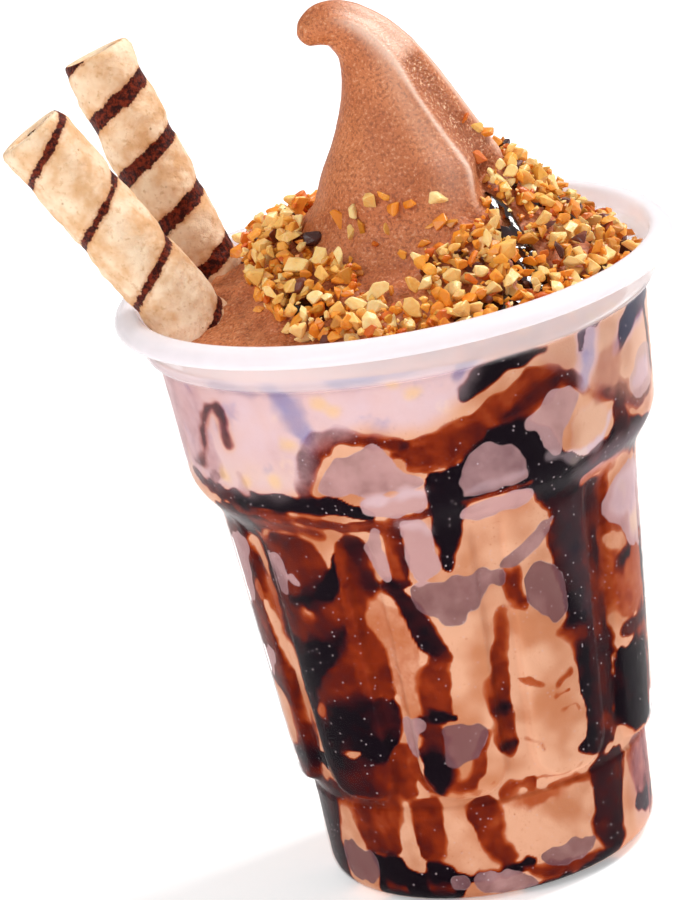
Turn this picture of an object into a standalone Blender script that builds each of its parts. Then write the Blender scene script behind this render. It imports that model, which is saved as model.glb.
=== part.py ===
"""Chocolate ice cream sundae in a clear fluted plastic cup, with two rolled wafers and chopped nuts.

The origin is the middle of the cup's foot, +Z is the cup's axis and -Y is the front.
"""

from math import cos, pi, radians, sin, sqrt

import bmesh
import bpy
from mathutils import Vector

MM = 0.001

# Every round piece shares these divisions, so that the filling follows the cup's facets.
PANELS = 10
STEPS_PER_PANEL = 5
STEPS = PANELS * STEPS_PER_PANEL
PANEL_PHASE = radians(-97.0)

# The cup's outside, from the foot up.
WALL = 0.7 * MM
FOOT_RADIUS = 28.5 * MM
FOOT_FILLET = 4.2 * MM
BAND_TOP = 18.4 * MM
BAND_TOP_RADIUS = 29.15 * MM
PANEL_BOTTOM = 20.6 * MM
PANEL_BOTTOM_RADIUS = 31.4 * MM
PANEL_TOP = 69.6 * MM
PANEL_TOP_RADIUS = 35.95 * MM
GROOVE_DEPTH = 1.3 * MM
SHOULDER_TOP = 77.0 * MM
SHOULDER_TOP_RADIUS = 40.1 * MM
COLLAR_BOTTOM = 96.6 * MM
COLLAR_BOTTOM_RADIUS = 41.6 * MM
COLLAR_RADIUS = 43.5 * MM
RIM_RADIUS = 47.5 * MM
RIM_EDGE = 102.9 * MM
RIM_CREST = 105.7 * MM

# The filling, up to the surface that the nuts lie on.
GAP = 0.3 * MM
FILL_EDGE_RADIUS = 42.0 * MM
MOUND_MIDDLE_RADIUS = 30.0 * MM
MOUND_INNER_RADIUS = 20.0 * MM
# Heights to the right, at the back, to the left and in front.
FILL_EDGE_HEIGHTS = (95.9 * MM, 99.5 * MM, 99.0 * MM, 98.6 * MM)
MOUND_MIDDLE_HEIGHTS = (105.0 * MM, 105.5 * MM, 106.0 * MM, 102.3 * MM)
MOUND_INNER_HEIGHTS = (113.6 * MM, 113.0 * MM, 111.5 * MM, 109.4 * MM)
PEAK_FOOT_RADIUS = 16.2 * MM
PEAK_FOOT_HEIGHTS = (118.6 * MM, 117.4 * MM, 116.4 * MM, 114.6 * MM)
PEAK_OFFSET = 4.8 * MM
LOBES = 5
LOBE_PHASE = radians(-55.0)
LOBE_TWIST = radians(-14.0)
# The peak's spine, which bends over to the left: side offset, height and radius.
PEAK_SPINE = (
    (5.3, 122.0, 14.5),
    (5.4, 126.6, 12.1),
    (5.1, 131.4, 9.9),
    (4.3, 136.2, 7.7),
    (3.0, 140.3, 6.1),
    (1.5, 143.5, 5.1),
    (-1.1, 146.0, 4.3),
    (-3.6, 147.0, 3.6),
    (-5.5, 146.6, 3.1),
    (-6.8, 145.7, 2.4),
)

# The wafers lean out over the rim at the left.
WAFER_RADIUS = 6.2 * MM
WAFER_BORE = 3.6 * MM
WAFER_LENGTH = 72.0 * MM
WAFER_STEPS = 20
WAFER_SECTIONS = 7
WAFER_SWELL = 0.12 * MM
# Each wafer's name, the middle of its top, and the point on its axis at the rim's height.
WAFERS = (
    ("wafer_front", (-54.7, -3.2, 139.1), (-35.0, -5.9, 104.3)),
    ("wafer_back", (-42.9, 22.6, 144.4), (-31.2, 17.6, 105.4)),
)

# The layer of chopped nuts that rings the peak.
NUT_DEPTH = 2.3 * MM
NUT_EDGE_DEPTH = 1.0 * MM
NUT_BUMP = 0.35 * MM
NUT_RINGS = 7
# How far out and in the layer reaches: to the right, at the back, to the left and in front.
NUT_OUTER = (38.4 * MM, 40.6 * MM, 25.0 * MM, 38.5 * MM)
NUT_INNER = (17.4 * MM, 21.0 * MM, 17.6 * MM, 29.0 * MM)


def new_material(name, colour, roughness, alpha=1.0):
    """A Principled material of one colour, see-through where alpha is under 1."""
    material = bpy.data.materials.new(name)
    material.use_nodes = True
    shader = material.node_tree.nodes["Principled BSDF"]
    shader.inputs["Base Color"].default_value = (*colour, 1.0)
    shader.inputs["Roughness"].default_value = roughness
    shader.inputs["Metallic"].default_value = 0.0
    shader.inputs["Alpha"].default_value = alpha
    return material


def mesh_object(name, bm, material):
    """Turn a bmesh into a named, smooth-shaded object with its normals facing out."""
    bmesh.ops.recalc_face_normals(bm, faces=bm.faces)
    for face in bm.faces:
        face.smooth = True
    mesh = bpy.data.meshes.new(name)
    bm.to_mesh(mesh)
    bm.free()
    piece = bpy.data.objects.new(name, mesh)
    piece.data.materials.append(material)
    bpy.context.scene.collection.objects.link(piece)
    return piece


def mix(low, high, share):
    return low + (high - low) * share


def smooth(share):
    share = min(max(share, 0.0), 1.0)
    return share * share * (3.0 - 2.0 * share)


def around(values, angle):
    """Blend four values, given for right, back, left and front, smoothly round the axis."""
    right, back, left, front = values
    mean = (right + back + left + front) / 4.0
    cross = (right + left - back - front) / 4.0
    return mean + (right - left) / 2.0 * cos(angle) + (back - front) / 2.0 * sin(angle) \
        + cross * cos(2.0 * angle)


def ring_angles(count=STEPS):
    """Angles of a ring, starting in a groove between two panels."""
    start = PANEL_PHASE + pi / PANELS
    return [start + 2.0 * pi * step / count for step in range(count)]


def groove_share(angle):
    """0 in the middle of a panel and 1 in the groove beside it."""
    turn = (angle - PANEL_PHASE) / (2.0 * pi / PANELS)
    return abs(turn - round(turn)) * 2.0


def cup_sections():
    """The cup's outside below its rim, from the foot up: height, radius and groove depth."""
    sections = []
    for step in range(4):
        turn = pi / 2.0 * step / 3.0
        sections.append((FOOT_FILLET * (1.0 - cos(turn)), FOOT_RADIUS - FOOT_FILLET * (1.0 - sin(turn)), 0.0))
    panel_slope = (PANEL_TOP_RADIUS - PANEL_BOTTOM_RADIUS) / (PANEL_TOP - PANEL_BOTTOM)
    sections.append((BAND_TOP, BAND_TOP_RADIUS, 0.0))
    sections.append((PANEL_BOTTOM, PANEL_BOTTOM_RADIUS, PANEL_BOTTOM_RADIUS - BAND_TOP_RADIUS - 0.1 * MM))
    for height in (PANEL_BOTTOM + 4.0 * MM, PANEL_TOP - 5.0 * MM):
        sections.append((height, PANEL_BOTTOM_RADIUS + (height - PANEL_BOTTOM) * panel_slope, GROOVE_DEPTH))
    sections.append((PANEL_TOP, PANEL_TOP_RADIUS, GROOVE_DEPTH * 0.3))
    for share, bulge in ((0.33, 0.42), (0.66, 0.8), (1.0, 1.0)):
        height = mix(PANEL_TOP, SHOULDER_TOP, share)
        sections.append((height, mix(PANEL_TOP_RADIUS, SHOULDER_TOP_RADIUS, bulge), 0.0))
    sections.append((COLLAR_BOTTOM, COLLAR_BOTTOM_RADIUS, 0.0))
    sections.append((COLLAR_BOTTOM + 1.4 * MM, COLLAR_RADIUS, 0.0))
    return sections


def section_ring(height, radius, groove, inset=0.0):
    """Points of one level ring of the cup, or of a surface inset from it."""
    points = []
    for angle in ring_angles():
        reach = radius - inset - groove * groove_share(angle) ** 3
        points.append(Vector((reach * cos(angle), reach * sin(angle), height)))
    return points


def round_ring(radius, height):
    return [Vector((radius * cos(angle), radius * sin(angle), height)) for angle in ring_angles()]


def cup_radius(height):
    """The cup's radius at a height, along the middle of a panel."""
    sections = cup_sections()
    for (low, low_radius, _), (high, high_radius, _) in zip(sections, sections[1:]):
        if low <= height <= high:
            return mix(low_radius, high_radius, (height - low) / (high - low))
    return COLLAR_RADIUS


def add_ring(bm, points):
    return [bm.verts.new(point) for point in points]


def bridge(bm, first, second):
    """Join two rings by triangles, also where the second one has half the points.

    Each four-cornered gap is split from its lower ring's point to its upper ring's next point,
    so that two surfaces which follow each other are split alike.
    """
    count = len(first)
    if len(second) == count:
        rising = first[0].co.z <= second[0].co.z
        lower, upper = (first, second) if rising else (second, first)
        for step in range(count):
            after = (step + 1) % count
            bm.faces.new((lower[step], lower[after], upper[after]))
            bm.faces.new((lower[step], upper[after], upper[step]))
        return
    half = len(second)
    for step in range(half):
        start, middle, end = (first[(2 * step + offset) % count] for offset in range(3))
        here, there = second[step], second[(step + 1) % half]
        bm.faces.new((start, middle, here))
        bm.faces.new((middle, there, here))
        bm.faces.new((middle, end, there))


def close_ring(bm, ring, point):
    """Close the end of a stack of rings with a fan round one point."""
    tip = bm.verts.new(point)
    for step, vertex in enumerate(ring):
        bm.faces.new((vertex, ring[(step + 1) % len(ring)], tip))


def make_cup():
    """One thin wall: foot, ten pillowed panels, shoulder, collar and a rolled-over rim."""
    bm = bmesh.new()
    rings = [section_ring(*section) for section in cup_sections()]
    inner_neck = COLLAR_RADIUS - WALL
    rim = (
        (COLLAR_RADIUS + 0.3 * MM, RIM_EDGE - 0.4 * MM),
        (COLLAR_RADIUS + 1.1 * MM, RIM_CREST - 1.2 * MM),
        (RIM_RADIUS - 1.5 * MM, RIM_CREST - 1.4 * MM),
        (RIM_RADIUS - 0.75 * MM, RIM_EDGE - 0.1 * MM),
        (RIM_RADIUS - 0.1 * MM, RIM_EDGE - 0.1 * MM),
        (RIM_RADIUS, RIM_EDGE + 0.5 * MM),
        (RIM_RADIUS - 0.6 * MM, RIM_EDGE + 1.7 * MM),
        (RIM_RADIUS - 1.8 * MM, RIM_CREST - 0.2 * MM),
        (RIM_RADIUS - 3.1 * MM, RIM_CREST),
        (inner_neck + 0.7 * MM, RIM_CREST - 0.5 * MM),
        (inner_neck + 0.3 * MM, RIM_CREST - 1.8 * MM),
    )
    rings += [round_ring(radius, height) for radius, height in rim]
    for height, radius, groove in reversed(cup_sections()):
        if height > WALL:
            rings.append(section_ring(height, radius, groove, inset=WALL))
    rings.append(round_ring(FOOT_RADIUS - FOOT_FILLET - WALL, WALL))
    stack = [add_ring(bm, ring) for ring in rings]
    for lower, upper in zip(stack, stack[1:]):
        bridge(bm, lower, upper)
    close_ring(bm, stack[0], (0.0, 0.0, 0.0))
    close_ring(bm, stack[-1], (0.0, 0.0, WALL))
    clear = new_material("clear_plastic", (0.86, 0.82, 0.86), 0.12, alpha=0.3)
    return mesh_object("cup", bm, clear)


def mound_offset(radius):
    """How far a ring of the mound is shifted to the right, towards the peak's middle."""
    return PEAK_OFFSET * smooth((FILL_EDGE_RADIUS - radius) / (FILL_EDGE_RADIUS - PEAK_FOOT_RADIUS))


def mound_height(angle, radius):
    """Height of the filling's top at an angle and a ring radius, without the nuts."""
    levels = (
        (FILL_EDGE_RADIUS, around(FILL_EDGE_HEIGHTS, angle)),
        (MOUND_MIDDLE_RADIUS, around(MOUND_MIDDLE_HEIGHTS, angle)),
        (MOUND_INNER_RADIUS, around(MOUND_INNER_HEIGHTS, angle)),
        (PEAK_FOOT_RADIUS, around(PEAK_FOOT_HEIGHTS, angle)),
    )
    for (outer, low), (inner, high) in zip(levels, levels[1:]):
        if radius >= inner:
            return mix(low, high, (outer - radius) / (outer - inner))
    return levels[-1][1]


def mound_line(angle):
    """Points of the filling's top at one angle, from the cup's wall in to the peak's foot."""
    height = mound_height(angle, FILL_EDGE_RADIUS)
    edge = cup_radius(height) - WALL - 1.5 * GAP
    line = [(edge, Vector((edge * cos(angle), edge * sin(angle), height)))]
    for radius in (38.0 * MM, 34.0 * MM, MOUND_MIDDLE_RADIUS, 25.0 * MM, MOUND_INNER_RADIUS, PEAK_FOOT_RADIUS):
        reach = radius
        if radius == PEAK_FOOT_RADIUS:
            reach *= 0.95 + 0.1 * lobe(angle, 0.0)
        point = (mound_offset(radius) + reach * cos(angle), reach * sin(angle), mound_height(angle, radius))
        line.append((radius, Vector(point)))
    return line


def mound_point(angle, radius, lift=0.0):
    """A point over the filling's top, lifted clear of it."""
    line = mound_line(angle)
    for (outer, start), (inner, end) in zip(line, line[1:]):
        if radius >= inner:
            break
    share = (outer - radius) / (outer - inner)
    return start.lerp(end, min(max(share, 0.0), 1.0)) + Vector((0.0, 0.0, lift))


def lobe(angle, rise):
    """A ridge of the nozzle's star, 1 on its crest and 0 in the valleys."""
    turn = (angle - LOBE_PHASE - LOBE_TWIST * rise) * LOBES / 2.0
    return 1.0 - abs(sin(turn)) ** 0.8


def peak_rings():
    """Rings of the curled peak, each square to the spine."""
    spine = [(Vector((side, 0.0, height)) * MM, radius * MM) for side, height, radius in PEAK_SPINE]
    rings = []
    for index, (centre, radius) in enumerate(spine):
        before = spine[max(index - 1, 0)][0]
        after = spine[min(index + 1, len(spine) - 1)][0]
        along = (after - before).normalized() if index else Vector((0.0, 0.0, 1.0))
        across = Vector((0.0, 1.0, 0.0)).cross(along)
        rise = index / (len(spine) - 1)
        depth = mix(0.11, 0.02, rise)
        points = []
        for angle in ring_angles(STEPS // 2):
            reach = radius * (1.0 - depth * 0.5 + depth * lobe(angle, rise))
            points.append(centre + across * reach * cos(angle) + Vector((0.0, reach * sin(angle), 0.0)))
        rings.append(points)
    tip = spine[-1][0] + (spine[-1][0] - spine[-2][0]).normalized() * 1.8 * MM
    return rings, tip


def ice_cream_rings():
    """Rings up the inside of the cup, over the mound and up to the peak's foot."""
    inset = WALL + GAP
    floor = round_ring(FOOT_RADIUS - FOOT_FILLET - WALL, WALL + GAP)
    side = []
    for height, radius, groove in cup_sections():
        if 1.5 * MM < height < COLLAR_BOTTOM - 3.0 * MM:
            side.append(section_ring(height, radius, groove, inset=inset))
    below_edge = []
    for angle in ring_angles():
        level = min(COLLAR_BOTTOM - 0.2 * MM, mound_height(angle, FILL_EDGE_RADIUS) - 0.5 * MM)
        reach = cup_radius(level) - inset
        below_edge.append(Vector((reach * cos(angle), reach * sin(angle), level)))
    rings = [floor] + side + [below_edge]
    lines = [[point for _, point in mound_line(angle)] for angle in ring_angles()]
    rings += [list(ring) for ring in zip(*lines)]
    return rings


def wafer_axis(top, at_rim):
    top = Vector(top) * MM
    return top, (Vector(at_rim) * MM - top).normalized()


def cut_wafer_sockets(piece):
    """Cut room for both wafers, a gap wider than they are."""
    for name, top, at_rim in WAFERS:
        start, along = wafer_axis(top, at_rim)
        length = WAFER_LENGTH + 2.0 * GAP
        bm = bmesh.new()
        bmesh.ops.create_cone(
            bm, cap_ends=True, segments=WAFER_STEPS + 4, depth=length,
            radius1=WAFER_RADIUS + 2.0 * GAP, radius2=WAFER_RADIUS + 2.0 * GAP)
        cutter = mesh_object(piece.name + "_" + name + "_socket", bm, piece.data.materials[0])
        cutter.location = start + along * (length / 2.0)
        cutter.rotation_mode = "QUATERNION"
        cutter.rotation_quaternion = along.to_track_quat("Z", "Y")
        cutter.display_type = "WIRE"
        cutter.hide_render = True
        cut = piece.modifiers.new(name + "_socket", "BOOLEAN")
        cut.operation = "DIFFERENCE"
        cut.solver = "EXACT"
        cut.object = cutter


def make_ice_cream():
    """Soft serve that fills the cup, mounds up over it and ends in a curled peak."""
    bm = bmesh.new()
    stack = [add_ring(bm, ring) for ring in ice_cream_rings()]
    peak, tip = peak_rings()
    stack += [add_ring(bm, ring) for ring in peak]
    for lower, upper in zip(stack, stack[1:]):
        bridge(bm, lower, upper)
    close_ring(bm, stack[0], (0.0, 0.0, WALL + GAP))
    close_ring(bm, stack[-1], tip)
    chocolate = new_material("chocolate_ice_cream", (0.55, 0.26, 0.16), 0.45)
    piece = mesh_object("ice_cream", bm, chocolate)
    cut_wafer_sockets(piece)
    return piece


def nut_ring(share, upper):
    """One ring of the nut layer: share 0 at its outer edge and 1 at its inner edge."""
    points = []
    for step, angle in enumerate(ring_angles()):
        waver = 0.9 * MM * sin(5.0 * angle + 0.6) + 0.5 * MM * sin(9.0 * angle)
        outer = around(NUT_OUTER, angle) + waver * 0.5
        inner = around(NUT_INNER, angle) - waver
        widest = mound_line(angle)[0][0] - 2.0 * GAP
        radius = mix(min(outer, widest), inner, share)
        lift = GAP + 0.25 * MM
        if upper:
            belly = sqrt(max(sin(pi * share), 0.0))
            bump = NUT_BUMP * sin(2.4 * step) * cos(9.0 * share + 1.7 * step)
            lift += mix(NUT_EDGE_DEPTH, NUT_DEPTH, belly) + bump
        points.append(mound_point(angle, radius, lift))
    return points


def make_nuts():
    """The heap of chopped nuts as one uneven layer round the peak."""
    bm = bmesh.new()
    shares = [ring / (NUT_RINGS - 1) for ring in range(NUT_RINGS)]
    stack = [add_ring(bm, nut_ring(share, upper=True)) for share in shares]
    stack += [add_ring(bm, nut_ring(share, upper=False)) for share in reversed(shares[::2])]
    for lower, upper in zip(stack, stack[1:] + stack[:1]):
        bridge(bm, lower, upper)
    roasted = new_material("roasted_nuts", (0.72, 0.45, 0.17), 0.6)
    piece = mesh_object("chopped_nuts", bm, roasted)
    cut_wafer_sockets(piece)
    return piece


def make_wafer(name, top, at_rim, material):
    """A rolled wafer: a tube with a slightly wavy wall, open at both ends."""
    bm = bmesh.new()
    outside = []
    inside = []
    for section in range(WAFER_SECTIONS):
        height = WAFER_LENGTH * section / (WAFER_SECTIONS - 1)
        swell = WAFER_SWELL * (-1.0) ** section
        for stack, radius in ((outside, WAFER_RADIUS + swell), (inside, WAFER_BORE)):
            points = []
            for step in range(WAFER_STEPS):
                angle = 2.0 * pi * step / WAFER_STEPS
                points.append(Vector((radius * cos(angle), radius * sin(angle), height)))
            if stack is outside or section in (0, WAFER_SECTIONS - 1):
                stack.append(add_ring(bm, points))
    loop = outside + inside[::-1]
    for lower, upper in zip(loop, loop[1:] + loop[:1]):
        bridge(bm, lower, upper)
    piece = mesh_object(name, bm, material)
    start, along = wafer_axis(top, at_rim)
    piece.location = start
    piece.rotation_mode = "QUATERNION"
    piece.rotation_quaternion = along.to_track_quat("Z", "Y")
    return piece


for old in list(bpy.data.objects):
    bpy.data.objects.remove(old, do_unlink=True)

make_cup()
make_ice_cream()
make_nuts()
baked_wafer = new_material("baked_wafer", (0.86, 0.66, 0.42), 0.7)
for wafer_name, wafer_top, wafer_at_rim in WAFERS:
    make_wafer(wafer_name, wafer_top, wafer_at_rim, baked_wafer)
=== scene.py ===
from math import cos, pi, radians, sin, sqrt

import bmesh
import bpy
import numpy as np
from mathutils import Matrix, Vector, noise
from mathutils.bvhtree import BVHTree


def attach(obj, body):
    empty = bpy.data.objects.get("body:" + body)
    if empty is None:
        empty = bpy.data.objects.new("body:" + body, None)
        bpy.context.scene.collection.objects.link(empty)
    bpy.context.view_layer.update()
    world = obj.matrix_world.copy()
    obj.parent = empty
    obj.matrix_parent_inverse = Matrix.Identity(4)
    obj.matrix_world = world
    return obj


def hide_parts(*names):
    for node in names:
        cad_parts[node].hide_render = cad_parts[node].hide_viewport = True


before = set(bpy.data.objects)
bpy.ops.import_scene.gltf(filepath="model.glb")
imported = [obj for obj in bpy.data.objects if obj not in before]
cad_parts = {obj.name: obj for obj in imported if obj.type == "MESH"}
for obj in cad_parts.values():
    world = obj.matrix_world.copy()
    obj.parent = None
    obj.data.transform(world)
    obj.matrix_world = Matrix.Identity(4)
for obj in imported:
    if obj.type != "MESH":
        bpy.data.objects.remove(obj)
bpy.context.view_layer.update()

MM = 0.001


# ---------------------------------------------------------------------------------------------
# The cup: one thermoformed wall of thin clear plastic with ten pillowed panels, a bulged
# shoulder, a plain collar and a lip rolled outward. The lip is cloudier than the wall, because
# the plastic is thicker and folded there.
# ---------------------------------------------------------------------------------------------
WALL = 0.7
PANELS = 10
PANEL_PHASE = -97.0
PANEL_PITCH = 360.0 / PANELS
PANEL_FOOT, PANEL_CORNER = 19.6, 6.5
STRIP_HALF = 3.8
STRIP_FOOT, STRIP_TOP = 17.9, 71.5
# Heights and radii up the middle of a panel, and up the flat strip between two panels.
CUP_LINE = (
    (0.0, 24.3), (0.45, 26.1), (1.3, 27.5), (2.6, 28.25), (4.2, 28.5), (17.9, 29.15),
    (18.5, 29.3), (19.4, 30.6), (20.9, 31.45), (45.0, 33.67), (67.0, 35.7), (69.6, 36.15),
    (71.6, 37.35), (73.6, 38.95), (75.6, 39.85), (77.6, 40.15), (96.0, 41.55), (96.9, 42.1),
    (97.5, 43.15), (98.2, 43.5), (100.2, 43.65),
)
STRIP_LINE = (
    (0.0, 20.0), (17.9, 29.15), (24.0, 30.0), (45.0, 32.1), (64.0, 34.1), (68.5, 35.0),
    (71.6, 37.35),
)
# Radii and heights round the rolled lip, from outside to inside.
RIM_LINE = (
    (43.65, 100.2), (43.8, 102.5), (44.2, 103.8), (45.0, 104.5), (46.0, 104.3), (46.6, 103.5),
    (46.8, 102.7), (47.1, 102.5), (47.4, 102.7), (47.5, 103.4), (47.0, 104.5), (45.8, 105.4),
    (44.5, 105.7), (43.5, 105.3), (43.1, 104.2), (42.95, 102.2), (42.85, 99.6),
)


def smoothstep(value, low, high):
    share = np.clip((value - low) / (high - low), 0.0, 1.0)
    return share * share * (3.0 - 2.0 * share)


def rounded(points, passes=2):
    """Cut the corners of a line a few times, keeping both its ends."""
    line = np.array(points, float)
    for _ in range(passes):
        quarter = line[:-1] * 0.75 + line[1:] * 0.25
        three = line[:-1] * 0.25 + line[1:] * 0.75
        line = np.vstack([line[:1], np.stack([quarter, three], 1).reshape(-1, line.shape[1]), line[-1:]])
    return line


CUP_CURVE = rounded(CUP_LINE)
STRIP_CURVE = rounded(STRIP_LINE)


def wall_reach(angle, height):
    """How far the cup's outside lies from its axis, for angles in degrees and heights in mm."""
    full = np.interp(height, CUP_CURVE[:, 0], CUP_CURVE[:, 1])
    strip = np.minimum(np.interp(height, STRIP_CURVE[:, 0], STRIP_CURVE[:, 1]), full)
    strip = np.where(height > STRIP_TOP, full, strip)
    turn = (angle - PANEL_PHASE + PANEL_PITCH / 2.0) % PANEL_PITCH - PANEL_PITCH / 2.0
    along = np.radians(np.abs(turn)) * full
    half = np.radians(PANEL_PITCH / 2.0 - STRIP_HALF) * full
    side = along - (half - PANEL_CORNER)
    below = (PANEL_FOOT + PANEL_CORNER) - height
    edge = np.hypot(np.maximum(side, 0.0), np.maximum(below, 0.0))
    edge = edge + np.minimum(np.maximum(side, below), 0.0) - PANEL_CORNER
    pillow = 1.0 - smoothstep(edge, -1.1, 0.25)
    crown = 0.45 * (along / half) ** 2 * smoothstep(height, 19.0, 24.0)
    crown = crown * (1.0 - smoothstep(height, 66.0, 72.0))
    return strip + (full - strip - crown) * np.where(height > STRIP_FOOT, pillow, 1.0)


def put_in_scene(name, thing):
    """Link a mesh, a lamp or the camera to the scene."""
    item = bpy.data.objects.new(name, thing)
    bpy.context.scene.collection.objects.link(item)
    return item


def skin(name, grid, closed=True, fields=None):
    """A smooth mesh over rows of points in mm, closed round each row or open, with its fields."""
    rows, columns = grid.shape[:2]
    index = np.arange(rows * columns).reshape(rows, columns)
    left = index if closed else index[:, :-1]
    right = np.roll(index, -1, axis=1) if closed else index[:, 1:]
    faces = np.stack([left[:-1], right[:-1], right[1:], left[1:]], axis=-1).reshape(-1, 4)
    mesh = bpy.data.meshes.new(name)
    mesh.from_pydata((grid.reshape(-1, 3) * MM).tolist(), [], faces.tolist())
    for field, values in (fields or {}).items():
        layer = mesh.attributes.new(field, "FLOAT", "POINT")
        layer.data.foreach_set("value", np.asarray(values, np.float32).ravel())
    bm = bmesh.new()
    bm.from_mesh(mesh)
    bmesh.ops.remove_doubles(bm, verts=bm.verts, dist=1e-7)
    bm.to_mesh(mesh)
    bm.free()
    mesh.shade_smooth()
    return put_in_scene(name, mesh)


def colour(red, green, blue):
    """A display colour, 0 to 255 a channel, as the shader's own linear colour."""
    channels = []
    for channel in (red, green, blue):
        share = channel / 255.0
        channels.append(share / 12.92 if share <= 0.04045 else ((share + 0.055) / 1.055) ** 2.4)
    return (*channels, 1.0)


class Wire:
    """A shader socket that takes part in sums, where each sum adds its Math node."""

    def __init__(self, tree, socket=None):
        self.tree = tree
        self.socket = socket

    def node(self, kind, settings, sockets, output=0):
        """Add a node: its settings first, then the values or wires of its sockets."""
        node = self.tree.nodes.new("ShaderNode" + kind)
        for name, value in settings.items():
            if name == "stops":
                ramp = node.color_ramp
                while len(ramp.elements) < len(value):
                    ramp.elements.new(1.0)
                for element, (place, tone) in zip(ramp.elements, value):
                    element.position = place
                    element.color = tone
            else:
                setattr(node, name, value)
        for name, value in sockets.items():
            if isinstance(value, Wire):
                self.tree.links.new(value.socket, node.inputs[name])
            else:
                node.inputs[name].default_value = value
        return Wire(self.tree, node.outputs[output])

    def math(self, operation, first, second=0.0):
        return self.node("Math", {"operation": operation}, {0: first, 1: second})

    def __add__(self, other):
        return self.math("ADD", self, other)

    def __radd__(self, other):
        return self.math("ADD", other, self)

    def __sub__(self, other):
        return self.math("SUBTRACT", self, other)

    def __rsub__(self, other):
        return self.math("SUBTRACT", other, self)

    def __mul__(self, other):
        return self.math("MULTIPLY", self, other)

    def __rmul__(self, other):
        return self.math("MULTIPLY", other, self)

    def between(self, low, high):
        """0 below low and 1 above high with a soft step, or the other way round if low is higher."""
        settings = {"interpolation_type": "SMOOTHSTEP"}
        return self.node("MapRange", settings, {"Value": self, "From Min": low, "From Max": high})

    def most(self, other):
        return self.math("MAXIMUM", self, other)

    def field(self, name):
        """A value that the mesh carries at its points."""
        return self.node("Attribute", {"attribute_name": name}, {}, output=2)

    def place(self):
        return self.node("TexCoord", {}, {}, output=3)

    def grain(self, size, detail=2.0, rough=0.5):
        """Noise from 0 to 1 whose spots are about this many mm across."""
        return self.node("TexNoise", {}, {
            "Vector": self.place(), "Scale": 1.0 / (size * MM), "Detail": detail, "Roughness": rough})

    def cells(self, scale, output=0):
        """Cells of a random pattern: the distance from each one's middle, or at 1 its random tone."""
        return self.node("TexVoronoi", {}, {"Vector": self.place(), "Scale": scale}, output)

    def blend(self, share, first, second):
        """Mix two colours: the first where share is 0 and the second where it is 1."""
        return self.node("Mix", {"data_type": "RGBA"}, {0: share, 6: first, 7: second}, output=2)

    def bump(self, height, depth, strength=1.0):
        """A normal that lifts the surface by depth mm where height is 1."""
        return self.node("Bump", {}, {"Strength": strength, "Distance": depth * MM, "Height": height})

    def show(self):
        output = self.tree.nodes.new("ShaderNodeOutputMaterial")
        self.tree.links.new(self.socket, output.inputs["Surface"])


def new_finish(name):
    """An empty material, and the wire that its nodes start from."""
    material = bpy.data.materials.new(name)
    material.use_nodes = True
    material.node_tree.nodes.clear()
    return material, Wire(material.node_tree)


def place_piece(piece, material, slot, *nodes):
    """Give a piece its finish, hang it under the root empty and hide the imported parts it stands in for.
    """
    piece.data.materials.append(material)
    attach(piece, "root")
    if nodes:
        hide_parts(*nodes)


COLUMNS_PER_PANEL = 30
BASE_HOLLOW = 0.35


def ring_columns(period_stops, count):
    """Angles round the cup, closer together where a panel's edge turns."""
    share = np.linspace(0.0, 1.0, count + 1)[:-1]
    places = np.interp(share, np.linspace(0.0, 1.0, len(period_stops)), period_stops)
    starts = PANEL_PHASE - PANEL_PITCH / 2.0 + PANEL_PITCH * np.arange(PANELS)
    return (starts[:, None] + places[None, :]).ravel()


def cup_grid():
    """Rows of points up the cup's outside, over its lip and down its inside."""
    angles = ring_columns(
        (0.0, 2.2, 4.0, 5.4, 7.0, 11.0, 18.0, 25.0, 29.0, 30.6, 32.0, 33.8, 36.0), COLUMNS_PER_PANEL)
    turn = np.radians(angles)
    low = [row for row in CUP_CURVE[:, 0] if row < 3.5]
    heights = np.concatenate([
        low, np.arange(4.0, 17.5, 1.2), np.arange(17.6, 28.0, 0.42), np.arange(28.4, 62.0, 1.4),
        np.arange(62.4, 79.0, 0.6), np.arange(80.0, 96.0, 2.0), np.arange(96.1, 99.4, 0.28)])
    rows = []
    for radius in (0.0, 8.0, 16.0, 22.0):
        rows.append((np.full_like(angles, radius), np.full_like(angles, BASE_HOLLOW * (radius < 20.0))))
    for height in heights:
        rows.append((wall_reach(angles, np.full_like(angles, height)), np.full_like(angles, height)))
    for radius, height in rounded(RIM_LINE):
        rows.append((np.full_like(angles, radius), np.full_like(angles, height)))
    for height in heights[::-1]:
        if height > WALL and height < 99.2:
            inside = wall_reach(angles, np.full_like(angles, height)) - WALL
            rows.append((inside, np.full_like(angles, height)))
    for radius in (22.0, 12.0, 0.0):
        rows.append((np.full_like(angles, radius), np.full_like(angles, WALL + BASE_HOLLOW)))
    reach = np.array([row[0] for row in rows])
    level = np.array([row[1] for row in rows])
    return np.stack([reach * np.cos(turn), reach * np.sin(turn), level], axis=-1)


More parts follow.
